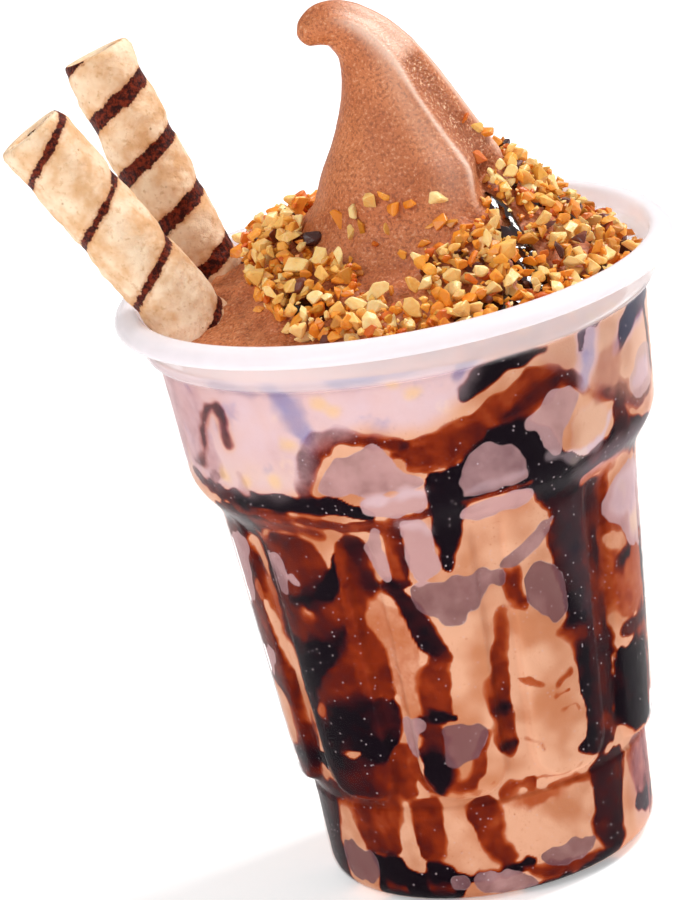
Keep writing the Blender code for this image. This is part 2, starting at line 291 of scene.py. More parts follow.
cup_points = cup_grid()
cup_height = cup_points[..., 2]
cup_lip = smoothstep(cup_height, 101.6, 103.2)
cup_neck = smoothstep(cup_height, 96.4, 98.0) * (1.0 - cup_lip)
cup = skin("cup", cup_points, fields={"lip": cup_lip, "neck": cup_neck})
clear_plastic, plastic = new_finish("clear_plastic")
cloud = plastic.grain(9.0, 3.0)
haze = plastic.field("lip") * (0.74 + 0.2 * cloud) + plastic.field("neck") * 0.55
ripple = plastic.bump(plastic.grain(4.5, 1.0), 0.025)
glare = plastic.node("Fresnel", {}, {"IOR": 1.11, "Normal": ripple})
milk = plastic.node("BsdfPrincipled", {}, {
    "Base Color": colour(252, 244, 250), "Roughness": 0.3, "IOR": 1.46, "Normal": ripple,
    "Subsurface Weight": 0.5, "Subsurface Radius": (1.0, 1.0, 1.0), "Subsurface Scale": 0.003})
window = plastic.node("BsdfTransparent", {}, {"Color": (1.0, 1.0, 1.0, 1.0)})
mirror = plastic.node("BsdfAnisotropic", {}, {
    "Color": (1.0, 1.0, 1.0, 1.0), "Roughness": 0.12, "Normal": ripple})
lit_through = plastic.node("BsdfTranslucent", {}, {"Color": (1.0, 0.99, 1.0, 1.0)})
milk = plastic.node("MixShader", {}, {0: 0.35, 1: milk, 2: lit_through})
clouded = plastic.node("MixShader", {}, {0: haze, 1: window, 2: milk})
plastic.node("MixShader", {}, {0: glare * 0.65, 1: clouded, 2: mirror}).show()
place_piece(cup, clear_plastic, "clear_plastic", "cup")


# ---------------------------------------------------------------------------------------------
# The filling against the wall: chocolate soft serve with fudge syrup run down the inside. Thin
# syrup shows red-brown and thick syrup near black; where the filling leaves a gap the plastic
# looks grey, and over the shoulder a milky film of melted ice cream clings to it.
# ---------------------------------------------------------------------------------------------
FILL_DEPTH = 0.35
# Where the mound meets the wall: heights to the right, at the back, to the left and in front.
EDGE_HEIGHTS = (95.9, 99.5, 99.0, 98.6)
ARC = 0.6
TAN, SMEAR, BROWN, MAROON, BLACK = 0.0, 0.3, 0.5, 0.74, 1.0


def waves(seed, angle, height, length, count=9):
    """A smooth random field round the cup, about -1 to 1, whose bumps are this many mm across."""
    draw = np.random.default_rng(seed)
    total = np.zeros_like(angle)
    for _ in range(count):
        heading = draw.uniform(0.0, 2.0 * pi)
        pace = 2.0 * pi / (length * draw.uniform(1.3, 2.6))
        turns = round(pace * cos(heading) * 35.0)
        rise = sqrt(max(pace * pace - (turns / 35.0) ** 2, 0.0)) * (1.0 if sin(heading) > 0 else -1.0)
        total += np.sin(turns * np.radians(angle) + rise * height + draw.uniform(0.0, 2.0 * pi))
    return total / sqrt(count)


def apart(angle, other):
    """How far round the cup two angles lie, the short way, in mm at the wall."""
    return ((angle - other + 180.0) % 360.0 - 180.0) * ARC


def beside(side, rise, across, up):
    """How far along a straight line places lie, as a share of it, and how far away from it."""
    share = np.clip((side * across + rise * up) / max(across * across + up * up, 1e-9), 0.0, 1.0)
    return share, np.hypot(side - share * across, rise - share * up)


def stroke_edge(angle, height, points):
    """Distance in mm outside a run of syrup, given by angles, heights and half widths."""
    nearest = np.full_like(angle, 1e3)
    for (angle0, height0, half0), (angle1, height1, half1) in zip(points, points[1:]):
        share, away = beside(
            apart(angle, angle0), height - height0, (angle1 - angle0) * ARC, height1 - height0)
        nearest = np.minimum(nearest, away - (half0 + (half1 - half0) * share))
    return nearest


def patch_edge(angle, height, corners):
    """Distance in mm outside a closed patch, negative within it, given by angles and heights."""
    nearest = np.full_like(angle, 1e3)
    inside = np.zeros(angle.shape, bool)
    middle = sum(corner[0] for corner in corners) / len(corners)
    here = apart(angle, middle)
    for (angle0, height0), (angle1, height1) in zip(corners, corners[1:] + corners[:1]):
        start, end = (angle0 - middle) * ARC, (angle1 - middle) * ARC
        across, up = end - start, height1 - height0
        rise = height - height0
        _, away = beside(here - start, rise, across, up)
        nearest = np.minimum(nearest, away)
        crosses = (height0 > height) != (height1 > height)
        inside ^= crosses & (here < start + across * rise / (up if abs(up) > 1e-9 else 1e-9))
    return np.where(inside, -nearest, nearest)


def around(values, turn):
    """Blend four values, given for right, back, left and front, smoothly round the axis."""
    right, back, left, front = values
    mean, cross = (right + back + left + front) / 4.0, (right + left - back - front) / 4.0
    sideways, inward = (right - left) / 2.0, (back - front) / 2.0
    return mean + sideways * np.cos(turn) + inward * np.sin(turn) + cross * np.cos(2.0 * turn)


class Wallpaint:
    """What lies against a stretch of wall: syrup depth, gaps, milky film and a blue tinge."""

    def __init__(self, angle, height):
        self.angle = angle
        self.height = height
        self.wobble = 0.26 * waves(3, angle, height, 3.0) + 0.16 * waves(4, angle, height, 1.4) - 0.12
        self.vary = np.clip(0.9 + 0.8 * waves(8, angle, height, 7.0), 0.35, 2.2)
        self.syrup = np.zeros_like(angle)
        self.gap = np.zeros_like(angle)
        self.shade = np.zeros_like(angle)
        self.film = np.zeros_like(angle)
        self.blue = np.zeros_like(angle)

    def edge(self, points):
        """Distance outside a run or a patch whose corners are rounded off."""
        if len(points[0]) == 3:
            line = np.array(points * 2 if len(points) == 1 else points)
            line = rounded(points, 1) if len(points) > 2 else line
            return stroke_edge(self.angle, self.height, line.tolist()) + self.wobble
        ring = np.array(points, float)
        for _ in range(2):
            after = np.roll(ring, -1, axis=0)
            ring = np.stack([ring * 0.8 + after * 0.2, ring * 0.2 + after * 0.8], axis=1).reshape(-1, 2)
        return patch_edge(self.angle, self.height, ring.tolist()) + self.wobble

    def pour(self, depth, points, soft=0.45):
        """Lay syrup, or clear ice cream at depth 0, over what is there; thick syrup bleeds into thin."""
        soft = soft * self.vary * (1.0 + 2.0 * (depth > 0.6) * smoothstep(self.syrup, 0.25, 0.45))
        share = 1.0 - smoothstep(self.edge(points), -soft, soft)
        self.syrup += (depth - self.syrup) * share

    def lift(self, points, shade=1.0, soft=0.35):
        """Leave a gap between the filling and the wall; the higher its shade, the darker its grey."""
        edge = self.edge(points)
        self.gap = np.maximum(self.gap, 1.0 - smoothstep(edge, -soft, soft))
        self.shade += (shade - self.shade) * (1.0 - smoothstep(edge, 0.5, 1.2))

    def cloud(self, strength, points, soft=2.0, blue=0.0):
        """Lay a milky film, which may be tinged blue."""
        share = 1.0 - smoothstep(self.edge(points), -soft, soft)
        self.film += (strength - self.film) * share
        self.blue += (blue - self.blue) * share

    def wipe(self, points, soft=2.0):
        """Clear a stretch for what comes next."""
        kept = smoothstep(self.edge(points), -soft, soft)
        for field in (self.syrup, self.gap, self.film, self.blue):
            field *= kept

    def grid(self):
        """Points in mm: the wall's shape, a little hollow where there is a gap."""
        top = around(EDGE_HEIGHTS, np.radians(self.angle)) + 0.2
        level = np.minimum(self.height, top)
        reach = wall_reach(self.angle, level) - FILL_DEPTH
        reach = reach - 0.2 * self.gap - 0.03 * waves(6, self.angle, self.height, 2.0)
        turn = np.radians(self.angle)
        return np.stack([reach * np.cos(turn), reach * np.sin(turn), level], axis=-1)


# A run of syrup is a line of angles, heights and half widths, and a patch is a ring of angles and
# heights: degrees round the cup, with -90 in front, and mm.
def paint_front(wall):
    """Lay the syrup of the front half, from the shoulder down to the foot."""
    pour, lift, cloud = wall.pour, wall.lift, wall.cloud
    wall.wipe([(-186, -5), (-186, 106), (0, 106), (0, -5)])
    # Film over the shoulder, with its blue tinges.
    cloud(0.85, [(-186, 78.5), (-186, 101), (-74, 101), (-78, 94), (-90, 88), (-105, 90), (-117, 88),
            (-121, 79)])
    # Thinner film towards the left: painted shade that darkens that side of the band.
    cloud(0.7, [(-186, 78.5), (-186, 101), (-144, 101), (-138, 79)], 4.0)
    cloud(0.8, [(-148, 79), (-124, 79), (-122.5, 84), (-148, 84)], 3.0, -0.32)
    cloud(0.34, [(-76, 101), (-2, 101), (-2, 77), (-20, 77), (-36, 81), (-48, 88), (-60, 95)], 2.0, -0.55)
    cloud(0.85, [(-46, 98, 1.9), (-46.5, 93, 1.9), (-48.5, 88, 1.2)], 1.0, 0.5)
    cloud(0.8, [(-119.5, 89.5, 1.4), (-121, 94, 2.0), (-122.5, 97, 1.5)], 1.8, 1.0)
    cloud(0.7, [(-139, 98, 1.2), (-130, 97, 0.9)], 1.4, 0.7)
    cloud(0.85, [(-107, 99.6, 1.8), (-94, 100.4, 2.2)], 1.4, 1.0)
    cloud(0.7, [(-81, 96, 0.6), (-79, 99.5, 1.5)], 1.0, 1.0)
    # Yellowish spots in the film.
    for angle, height, half in (
            (-113, 94.6, 1.1), (-110.5, 93.4, 0.7), (-91.5, 94.6, 0.8), (-123, 87.6, 1.2),
            (-147, 80.6, 0.9), (-139, 80.4, 0.6), (-130, 80.8, 0.8), (-96, 97.0, 0.6)):
        cloud(0.7, [(angle, height, half)], 1.2, -1.0)
    # Shoulder.
    # Thin syrup under the film at the left: painted shade that darkens that side of the band.
    pour(0.36, [(-186, 79), (-186, 99), (-152, 99), (-147, 93), (-148, 84), (-146, 79)], 3.0)
    pour(MAROON, [(-178, 64), (-165, 71.5), (-155, 75), (-140, 76), (-136, 72), (-150, 68.5),
            (-160, 66.5)])
    pour(BROWN, [(-146, 75, 1.0), (-130, 74.2, 1.0), (-119, 72.4, 1.1), (-110, 71.6, 1.2),
            (-100, 72.6, 1.0), (-91, 73.4, 0.8)])
    pour(MAROON, [(-166, 78.8, 0.6), (-158, 78, 1.1), (-150, 77.0, 1.4), (-142, 77.0, 1.4)])
    pour(BLACK, [(-143, 76.6, 1.2), (-135, 77.2, 1.5), (-126, 76.8, 1.5), (-119, 76.8, 1.6),
            (-111, 75.6, 1.3), (-107, 74.2, 0.7)])
    pour(0.66, [(-161.6, 81.2, 0.5), (-156.3, 81.6, 0.5), (-154.4, 83.6, 0.4), (-152.5, 86.5, 0.35),
            (-150, 90.3, 0.35), (-147.5, 92.4, 0.45), (-144.7, 93.4, 0.8), (-142.6, 92.8, 1.4),
            (-141.4, 91.0, 0.7), (-141.9, 89.2, 0.4), (-141.9, 86.9, 1.0)], 0.4)
    cloud(0.3, [(-156.3, 81.6, 0.9), (-152.5, 86.5, 0.9), (-147.5, 92.4, 1.0), (-142.6, 92.8, 1.8),
            (-141.9, 86.9, 1.5)], 0.6)
    pour(BROWN, [(-153, 79.6, 0.8), (-150.8, 80.4, 0.7)])
    pour(SMEAR, [(-141, 78.6, 0.9), (-141, 81.6, 0.8)])
    pour(0.56, [(-122.2, 79.5, 1.2), (-120, 83.6, 1.8), (-117, 86.8, 2.0), (-113.8, 88.6, 1.7),
            (-110, 88.8, 1.4), (-105, 88.0, 1.0), (-101, 87.0, 1.0), (-97.5, 86.2, 1.1)], 0.7)
    # Swoosh right of the middle.
    pour(0.42, [(-97.5, 83.5), (-96, 86.5), (-92, 86.8), (-85.8, 87.8), (-79.5, 89.4), (-70, 91.6),
            (-63.9, 94.2), (-59.5, 93.4), (-54.5, 91.5), (-50.8, 89.2), (-47.6, 86.5), (-48.9, 86.3),
            (-51.4, 88), (-57, 88.4), (-62, 86.6), (-65.8, 85.3), (-73.3, 84.0), (-79.5, 83.0),
            (-85.8, 81.2), (-92, 80.4), (-96, 81.5)], 0.6)
    pour(MAROON, [(-97, 84.6, 0.6), (-95.6, 86.0, 0.6)])
    pour(0.68, [(-72, 87.0, 0.8), (-66, 88.0, 1.4), (-60, 90.0, 1.6), (-55, 90.4, 1.0),
            (-51, 88.6, 0.7)], 0.9)
    pour(BLACK, [(-81.7, 91.5), (-80.1, 94.5), (-77.6, 96.5), (-73.3, 97.4), (-68.3, 97.6), (-62, 97.2),
            (-59.2, 95.9), (-62, 95.3), (-67, 95.0), (-70.8, 94.4), (-73.9, 93.4), (-78.3, 91.5)])
    pour(MAROON, [(-48.9, 97.8, 0.4), (-43.5, 96.5, 0.5)])
    pour(MAROON, [(-48.2, 96.4, 0.5), (-48.9, 93.4, 0.2)])
    pour(0.9, [(-38.9, 89.8), (-35.1, 89.2), (-34.5, 93.2), (-31.4, 96.0), (-23.3, 96.6), (-10.8, 97.2),
            (-2, 96.5), (-2, 94.3), (-10.8, 93.8), (-23.3, 93.0), (-29.5, 91.5), (-33.9, 89.6)], 0.6)
    pour(0.28, [(-52, 85), (-40, 82), (-34, 86), (-34, 92), (-42, 93)], 2.6)
    pour(0.56, [(-42.5, 84.6, 0.7), (-38.6, 83.2, 1.4), (-35, 83.2, 1.9), (-32, 80.6, 1.2),
            (-27, 79.4, 1.6), (-16, 80, 1.4)], 1.1)
    pour(0.62, [(-38.4, 81, 1.2), (-36, 78.6, 2.0), (-37, 75, 2.6)], 1.4)
    pour(MAROON, [(-18, 96, 0.8), (-14, 90, 0.9), (-12, 82, 1.2)], 0.7)
    # Belt of thick syrup under the shoulder.
    pour(BLACK, [(-92.6, 80.6), (-84, 80.5), (-80, 84.6), (-72, 86.3), (-65, 84.6), (-61, 82.5),
            (-59, 79.3), (-55.5, 76.6), (-50, 75.6), (-44, 74.5), (-41, 72.6), (-48, 70.4), (-56, 68.2),
            (-61, 67.6), (-64, 70), (-67, 73.2), (-72, 74.2), (-84, 74.2), (-85, 71), (-84.6, 69.6),
            (-87, 66.5), (-88.5, 63.4), (-90.2, 61.8), (-92, 62), (-92.6, 66), (-92.8, 72)])
    pour(0.8, [(-52, 75.4), (-44, 77.0), (-36, 78.6), (-30, 77.2), (-18, 74.6), (0, 73.2), (0, 65),
            (-14, 67.5), (-24, 70.4), (-34, 72.0), (-46, 71.0)], 0.7)
    cloud(0.5, [(-50, 73, 1.6), (-40, 73.6, 1.8), (-27, 74, 1.8), (-10, 72, 2.0)], 1.6, 0.3)
    cloud(0.6, [(-38, 90), (-31, 96.5), (-12, 97.5), (-12, 93), (-30, 91)], 1.2, 1.0)
    pour(BROWN, [(-84, 74.3, 0.35), (-67.5, 74.6, 0.35)], 0.3)
    pour(0.55, [(-98, 84.5, 0.8), (-93, 83.5, 1.6), (-88, 83.4, 1.9), (-80, 85.6, 1.8)], 1.0)
    # Panel at the left edge.
    pour(0.62, [(-186, 66), (-152, 69), (-150.5, 20.5), (-186, 22)], 1.0)
    pour(TAN, [(-158.4, 53.8), (-156.3, 55.2), (-151, 56.5), (-150.3, 49), (-150.6, 41.5), (-151, 35.3),
            (-153, 33.8), (-154.4, 31.5), (-154, 37.6), (-155, 44.5), (-156.9, 49.2)], 0.6)
    pour(SMEAR, [(-161, 57), (-157.5, 59.5), (-156.5, 57.5), (-158, 55)], 0.9)
    pour(0.08, [(-186, 38.5), (-170, 38), (-161.5, 37), (-160.5, 30), (-164, 26.5), (-186, 25)], 1.0)
    pour(0.36, [(-156, 60), (-150.8, 60), (-150.8, 48), (-155, 48)], 1.0)
    pour(BLACK, [(-168, 25.3, 0.6), (-158, 26.0, 1.0), (-152, 25.5, 1.6)], 0.7)
    # Panel left of the middle.
    pour(0.6, [(-150.6, 70), (-122, 70), (-120.5, 20.6), (-150.6, 20.6)], 0.6)
    pour(0.84, [(-149.6, 50, 0.7), (-149.8, 68, 0.8)], 0.6)
    pour(0.05, [(-136, 55.6, 0.8), (-134.5, 55.4, 0.6)], 1.1)
    pour(BROWN, [(-143, 71.5, 1.2), (-132, 72, 1.4), (-124, 70.5, 1.2)], 1.0)
    pour(BLACK, [(-139.6, 57.4, 0.6), (-131, 58.0, 1.3), (-126, 60.2, 1.5), (-122, 63, 1.5),
            (-120.6, 66, 0.9)])
    pour(0.95, [(-150, 50.2), (-140, 49.6), (-134, 50.2), (-127, 52.5), (-121, 54), (-120.4, 50),
            (-124, 49.6), (-131, 46.4), (-138.5, 42.6), (-141.8, 38.4), (-141.6, 35.4), (-138.5, 34.6),
            (-137, 38.2), (-130, 39.6), (-121, 40.4), (-116.5, 40), (-113.6, 39), (-113.4, 36.5),
            (-114.6, 32), (-119.5, 29.5), (-121, 21.2), (-136, 20.6), (-150, 20.6)], 0.5)
    pour(SMEAR, [(-141.3, 36.2, 0.8), (-140.3, 37.2, 0.6)], 0.6)
    pour(0.1, [(-136, 29.1, 0.25), (-133, 28.7, 0.55), (-129.6, 29.5, 0.3)], 0.4)
    pour(0.62, [(-120, 38.0, 0.6), (-117.5, 35.8, 1.3), (-119.5, 34, 0.8)], 1.2)
    pour(0.72, [(-139, 26.5), (-127, 27.5), (-120, 28), (-119.5, 21.0), (-137, 20.8)], 1.8)
    pour(0.58, [(-125.5, 27), (-119, 28), (-118.5, 21.0), (-125, 21.0)], 1.4)
    pour(0.52, [(-140, 20.6, 0.4), (-124, 20.4, 0.8)], 0.8)
    # Brown columns beside the middle panel.
    pour(0.52, [(-121.5, 69), (-113.5, 70.5), (-112.6, 66), (-112, 60.5), (-113.8, 57.6), (-113.2, 49),
            (-113.2, 38.8), (-123, 39.8), (-124.5, 50), (-122, 58)], 0.6)
    pour(0.8, [(-118.5, 68.5), (-112.5, 69.8), (-111.8, 64), (-113.6, 60.5), (-118, 61.5)], 0.7)
    pour(0.5, [(-121, 29), (-114.6, 31.5), (-113.6, 29), (-113.4, 24), (-113, 20.6), (-121, 20.6)], 0.6)
    pour(0.42, [(-106.7, 73.4), (-101.7, 73.2), (-101.5, 66), (-101.9, 60), (-106.4, 60.6)], 0.6)
    pour(MAROON, [(-101.9, 71, 0.45), (-101.7, 66, 0.7), (-102, 61, 0.6)], 0.5)
    pour(MAROON, [(-113, 60.5, 0.7), (-108, 60.2, 0.8), (-102, 60.8, 0.7)], 0.6)
    pour(0.2, [(-116.9, 53.8), (-115.6, 57.6), (-111.9, 57.6), (-106.3, 56.8), (-103.8, 53), (-103, 47),
            (-103.1, 44.5), (-105.6, 41.5), (-106.3, 35.3), (-112.5, 36.1), (-113.4, 44.5),
            (-113.1, 49.2), (-116.3, 52.2)])
    pour(0.5, [(-96.0, 46.6, 0.9), (-99, 44.8, 2.3), (-101.2, 41, 2.9), (-101.2, 37, 2.7)], 0.5)
    pour(0.84, [(-106.5, 59.4, 1.2), (-103.4, 56.6, 1.5), (-100.6, 51.8, 2.0), (-98.4, 48.6, 1.6),
            (-97.0, 46.9, 0.7)])
    pour(BLACK, [(-105.5, 35.4, 0.8), (-101, 36.0, 1.3), (-97, 35.5, 0.6)], 0.5)
    pour(0.66, [(-106, 34, 1.6), (-102.6, 32.5, 2.2), (-105.5, 29.5, 2.4)], 0.7)
    pour(0.97, [(-107.2, 28.2, 1.2), (-104.2, 27.6, 2.6), (-104.4, 25, 3.1), (-105.6, 23, 1.9)], 0.7)
    pour(0.42, [(-113.4, 30, 0.8), (-112, 26, 1.4), (-109.4, 22.4, 0.9)], 0.9)
    pour(BROWN, [(-99.5, 22.6, 0.8), (-95.4, 22.8, 1.2), (-92.8, 25.6, 1.2), (-90.6, 29.2, 1.1),
            (-88.9, 31.4, 0.7)], 0.6)
    # Streak down the middle panel and its smears.
    pour(0.47, [(-79.6, 53.2), (-76.1, 53.5), (-77.4, 46), (-78.4, 41.5), (-78.6, 33.8), (-78.6, 27.8),
            (-80.1, 26.2), (-83.9, 26.6), (-85.8, 29.2), (-85.1, 33.8), (-86.7, 36.8), (-85.8, 40),
            (-83.3, 42.2), (-80.8, 49.2)], 0.7)
    pour(0.53, [(-80.5, 49, 0.3), (-81.4, 44, 1.2), (-82.3, 39, 1.8), (-82, 32, 1.6)], 1.0)
    pour(0.97, [(-85.2, 35.4, 0.4), (-82, 35.0, 0.7), (-79, 35.0, 0.5)], 0.5)
    pour(0.95, [(-83.6, 28.0, 0.4), (-79.2, 28.3, 0.5)], 0.5)
    pour(SMEAR, [(-75.7, 39.8, 0.3), (-71, 38.6, 0.7), (-68.6, 37.6, 0.4)], 0.8)
    pour(0.38, [(-63.9, 37.0, 0.4), (-59.6, 38.5, 0.6)], 0.7)
    pour(SMEAR, [(-65.2, 34.9, 0.3), (-61, 35.4, 0.3)], 0.6)
    pour(0.22, [(-64, 32.2, 0.3), (-59, 32.6, 0.4), (-57.6, 31.4, 0.4)], 0.7)
    pour(0.25, [(-76, 28.5, 0.2), (-72, 27.6, 0.4), (-71, 26.0, 0.3)], 0.8)
    pour(0.58, [(-75.6, 59.4), (-70.6, 59.6), (-71, 57), (-70.4, 52.4), (-73, 52.2), (-75.6, 55.2)], 0.6)
    pour(0.36, [(-73.6, 52.6, 0.5), (-71.4, 52.4, 0.5)], 0.7)
    # Dark column and the panel at the right.
    pour(0.86, [(-59.5, 66), (-50.1, 69.6), (-47.8, 67.6), (-49.6, 60), (-49.8, 49), (-51.0, 46),
            (-49.6, 41.5), (-47.8, 30), (-49.6, 21.4), (-54.5, 22.0), (-60.8, 24.1), (-54.5, 26),
            (-56, 33.8), (-57.3, 37.6), (-55, 41.5), (-54.6, 45.0), (-60.8, 46), (-58, 49.2),
            (-58.3, 53.8), (-60.8, 57.6), (-62, 63)])
    pour(0.84, [(-60.5, 65), (-60, 69.8), (-48, 71.8), (-45.5, 67), (-52, 63.5)], 0.8)
    pour(0.62, [(-61, 64, 0.5), (-59.6, 59.6, 1.1), (-59.4, 55.5, 0.8)], 1.5)
    pour(0.98, [(-55.5, 55, 0.9), (-53.6, 48, 1.6), (-52, 38, 2.3), (-51.6, 27, 1.8),
            (-53.4, 23.6, 0.8)], 1.3)
    pour(0.6, [(-60.8, 45.6, 0.5), (-57, 44.6, 1.0), (-53, 44.0, 1.3)], 0.9)
    pour(0.74, [(-49.8, 70), (-38.6, 69.6), (-38.9, 45), (-39.4, 21), (-51.4, 20.8), (-52.2, 40)], 0.7)
    pour(0.24, [(-47.5, 70.6, 0.9), (-42, 71.2, 1.2), (-35, 70.2, 1.1)], 0.8)
    pour(0.6, [(-46, 62, 0.8), (-45, 50, 1.4), (-44.4, 42, 1.0)], 1.4)
    pour(0.55, [(-49, 27, 0.7), (-44, 26, 1.5), (-40, 24, 1.2)], 1.0)
    pour(0.5, [(-38.4, 69, 1.0), (-39, 60, 1.2), (-39, 50, 1.4)], 1.2)
    pour(0.3, [(-38.6, 62), (-30, 60.5), (-24, 57), (-10, 55), (0, 52), (0, 42), (-28, 41), (-36.5, 43.5),
            (-38.4, 50)], 0.9)
    pour(0.4, [(-38, 58, 0.6), (-36.4, 52, 1.0), (-36, 46, 1.6), (-30, 44.6, 1.0)], 1.4)
    pour(0.42, [(-41, 60), (-35.5, 60.6), (-28, 58), (-26.4, 52.8), (-35, 52.6), (-40.6, 55.6)], 1.0)
    pour(0.16, [(-38.8, 58.6), (-35.8, 58.8), (-30, 56.6), (-28.6, 54.2), (-34.6, 54.2),
            (-38.4, 56.4)], 0.8)
    pour(0.97, [(-31.4, 52.4, 0.9), (-29.6, 53.0, 1.3), (-28.2, 52.6, 0.6)], 0.8)
    pour(0.95, [(-39.4, 37.0), (-30, 37.6), (-20, 37.0), (0, 33), (0, 21), (-39.4, 21)], 0.8)
    pour(0.7, [(-34, 40.0, 1.2), (-22, 39.6, 1.8), (-8, 39.0, 2.4)], 1.4)
    cloud(0.14, [(-60, 66), (-48, 69), (-48, 44), (-55, 50)], 2.0, 0.2)
    # Painted shadow: thin dark lines under the bottom edges of two panels, laid as thin syrup.
    pour(0.21, [(-78, 21.4, 0.2), (-72, 20.4, 0.3), (-62, 20.6, 0.3), (-56, 22.2, 0.2)], 0.6)
    pour(0.21, [(-114, 21.8, 0.2), (-106, 20.5, 0.3), (-96, 20.6, 0.3), (-88, 22.6, 0.2)], 0.6)
    # Foot band.
    pour(0.13, [(-186, 0.5), (-186, 18.6), (0, 18.6), (0, 0.5)], 0.5)
    pour(0.26, [(-84, 18.6, 1.0), (-76, 17.2, 1.6), (-66, 17.6, 0.9)], 1.6)
    pour(0.84, [(-190, 0), (-190, 18.4), (-158, 18.9), (-152, 18.4), (-153.6, 14), (-156.6, 10.4),
            (-156, 0)], 0.7)
    pour(0.74, [(-186, 17.6), (-186, 21.6), (-150, 21.6), (-142, 20.6), (-142, 18.4), (-152, 17.6)], 0.8)
    pour(BROWN, [(-143.7, 20.4), (-125, 20.4), (-120.5, 19.6), (-122.6, 16), (-125.4, 12), (-125.6, 10),
            (-130, 9), (-139.4, 9.4), (-142.6, 12)], 0.5)
    pour(BLACK, [(-139, 9), (-126, 9.4), (-124, 7), (-117, 5.6), (-116, 8.4), (-112, 8.4), (-107.6, 7.4),
            (-105.6, 5.6), (-92, 5.4), (-88, 6.6), (-82.6, 6.8), (-78, 6.2), (-81, 4.6), (-92, 4.6),
            (-104, 4.0), (-107, 0), (-141, 0), (-137.4, 4)], 0.5)
    pour(BROWN, [(-134, 3.4, 0.6), (-127, 3.0, 0.7)], 0.8)
    pour(BROWN, [(-116, 3.6, 0.7), (-109, 3.2, 0.7)], 0.8)
    pour(0.52, [(-118.2, 20.4), (-108, 20.4), (-106.6, 18.8), (-107.8, 13), (-108.6, 9), (-116.4, 8.8),
            (-117.8, 10.8)], 0.5)
    pour(0.5, [(-98.8, 19.4), (-89, 19.6), (-87, 18), (-88.3, 13), (-87, 10), (-83, 7.4), (-88, 6.4),
            (-92.6, 7.6), (-96, 11.5), (-98.4, 16)], 0.6)
    pour(0.42, [(-86.4, 19.4, 0.9), (-81, 20.6, 1.3), (-76, 20.2, 1.0)], 1.0)
    pour(0.38, [(-70, 18.5, 0.5), (-60, 18.2, 0.6), (-54.5, 17.6, 0.4)], 0.8)
    pour(0.52, [(-83, 5.2, 0.3), (-76, 3.6, 1.2), (-62, 2.6, 1.4), (-54, 2.6, 1.2)], 0.7)
    pour(BLACK, [(-82, 0, 1.2), (-60, 0.4, 1.2), (-50, 1.6, 1.6), (-44, 2.4, 1.6)], 0.6)
    pour(0.76, [(-54, 20), (-52.2, 12), (-56, 8.8), (-53, 6.0), (-50, 2.6), (-39.6, 2.6), (-39.4, 9),
            (-36.6, 13.5), (-35, 20)], 0.7)
    pour(0.1, [(-39.6, 10.7), (-33.8, 17.6), (-31.6, 14.5), (-30, 6.8), (-29.5, 2.2), (-39.6, 2.2)], 0.6)
    pour(0.42, [(-33, 19), (-30.8, 12.5), (-29.6, 8.6), (0, 8.6), (0, 19)], 0.9)
    pour(0.86, [(-30, 7.6, 0.8), (-22, 6.6, 2.2), (-8, 6.4, 2.4), (0, 6.4, 2.2)], 0.8)
    cloud(0.3, [(-32, 2), (-32, 18), (6, 18), (6, 2)], 3.0, 0.4)
    # Gaps where the filling stands off the wall.
    lift([(-118, 79.4), (-116.9, 81.5), (-115, 83.2), (-111.9, 84.5), (-107.5, 85.7), (-103.1, 86.3),
            (-100.9, 85.7), (-99.7, 84.2), (-98.1, 82.4), (-97.2, 80.7), (-93.0, 79.9), (-93.0, 78.4),
            (-106, 78.0), (-117, 79)], 0.76)
    lift([(-109.2, 77.2), (-93.2, 78.0), (-92.9, 74.2), (-104.4, 73.4), (-107.5, 74.5)], 0.68)
    lift([(-84.4, 75.7), (-83.9, 79.2), (-81.7, 81.8), (-78.6, 83.2), (-75.1, 83.3), (-71.7, 82.1),
            (-69.2, 79.5), (-67.9, 76.5), (-68.1, 75.3), (-75.8, 75.5), (-83.9, 74.9)], 0.83)
    lift([(-85.4, 70.9), (-83.9, 72.6), (-80.1, 73.5), (-70.8, 73.6), (-67, 73.2), (-65.3, 71.5),
            (-66.6, 70.4), (-70, 70.2), (-73, 70.9), (-77, 69.6), (-82.6, 70.2)], 0.7)
    lift([(-66.5, 83.8), (-65.0, 86.0), (-61, 87.6), (-57, 88.9), (-53.6, 88.2), (-51, 85.6),
            (-54.5, 83.6), (-57, 80.4), (-58.6, 77.2), (-61.5, 79.6), (-63.4, 82.4)], 0.72)
    lift([(-32, 82.6), (-27, 85.6), (-21, 88), (-13, 86), (-12, 80), (-19, 79.4), (-26, 79.6)], 0.68)
    cloud(0.55, [(-29, 82.6), (-24, 85.4), (-15, 84.4), (-15, 81), (-24, 80.8)], 1.0)
    lift([(-92, 60.2), (-83, 60.4), (-75.6, 59.2), (-75.6, 57), (-79.5, 57.5), (-83.9, 55.5),
            (-88.3, 52.0), (-93.8, 52.4), (-97.5, 54.4), (-100, 55.5), (-101.7, 57.8), (-101.9, 60.2)], 0.9)
    lift([(-76.4, 60.4), (-70, 63.0), (-64.5, 65.1), (-59.8, 66.6), (-58.9, 66.0), (-62, 63.8),
            (-67, 61.2), (-71.4, 60.2), (-75, 60)], 0.85)
    lift([(-71.1, 56.8), (-68.9, 58.5), (-65.1, 59.2), (-61.4, 58.4), (-59.2, 56.1), (-57.9, 52.2),
            (-57.9, 49.5), (-60.1, 48.2), (-63.9, 48.8), (-67, 50.7), (-69.8, 53.8)], 1.0)
    lift([(-111.9, 67.6), (-110, 69.8), (-107.4, 71.1), (-106.9, 68.4), (-106.9, 61.7), (-109.4, 62.4),
            (-111.6, 63.9)], 0.75)
    lift([(-101, 71), (-99, 72.2), (-94.6, 72), (-93.6, 66), (-92.4, 61.6), (-97, 61.3),
            (-101.1, 61.3)], 0.35)
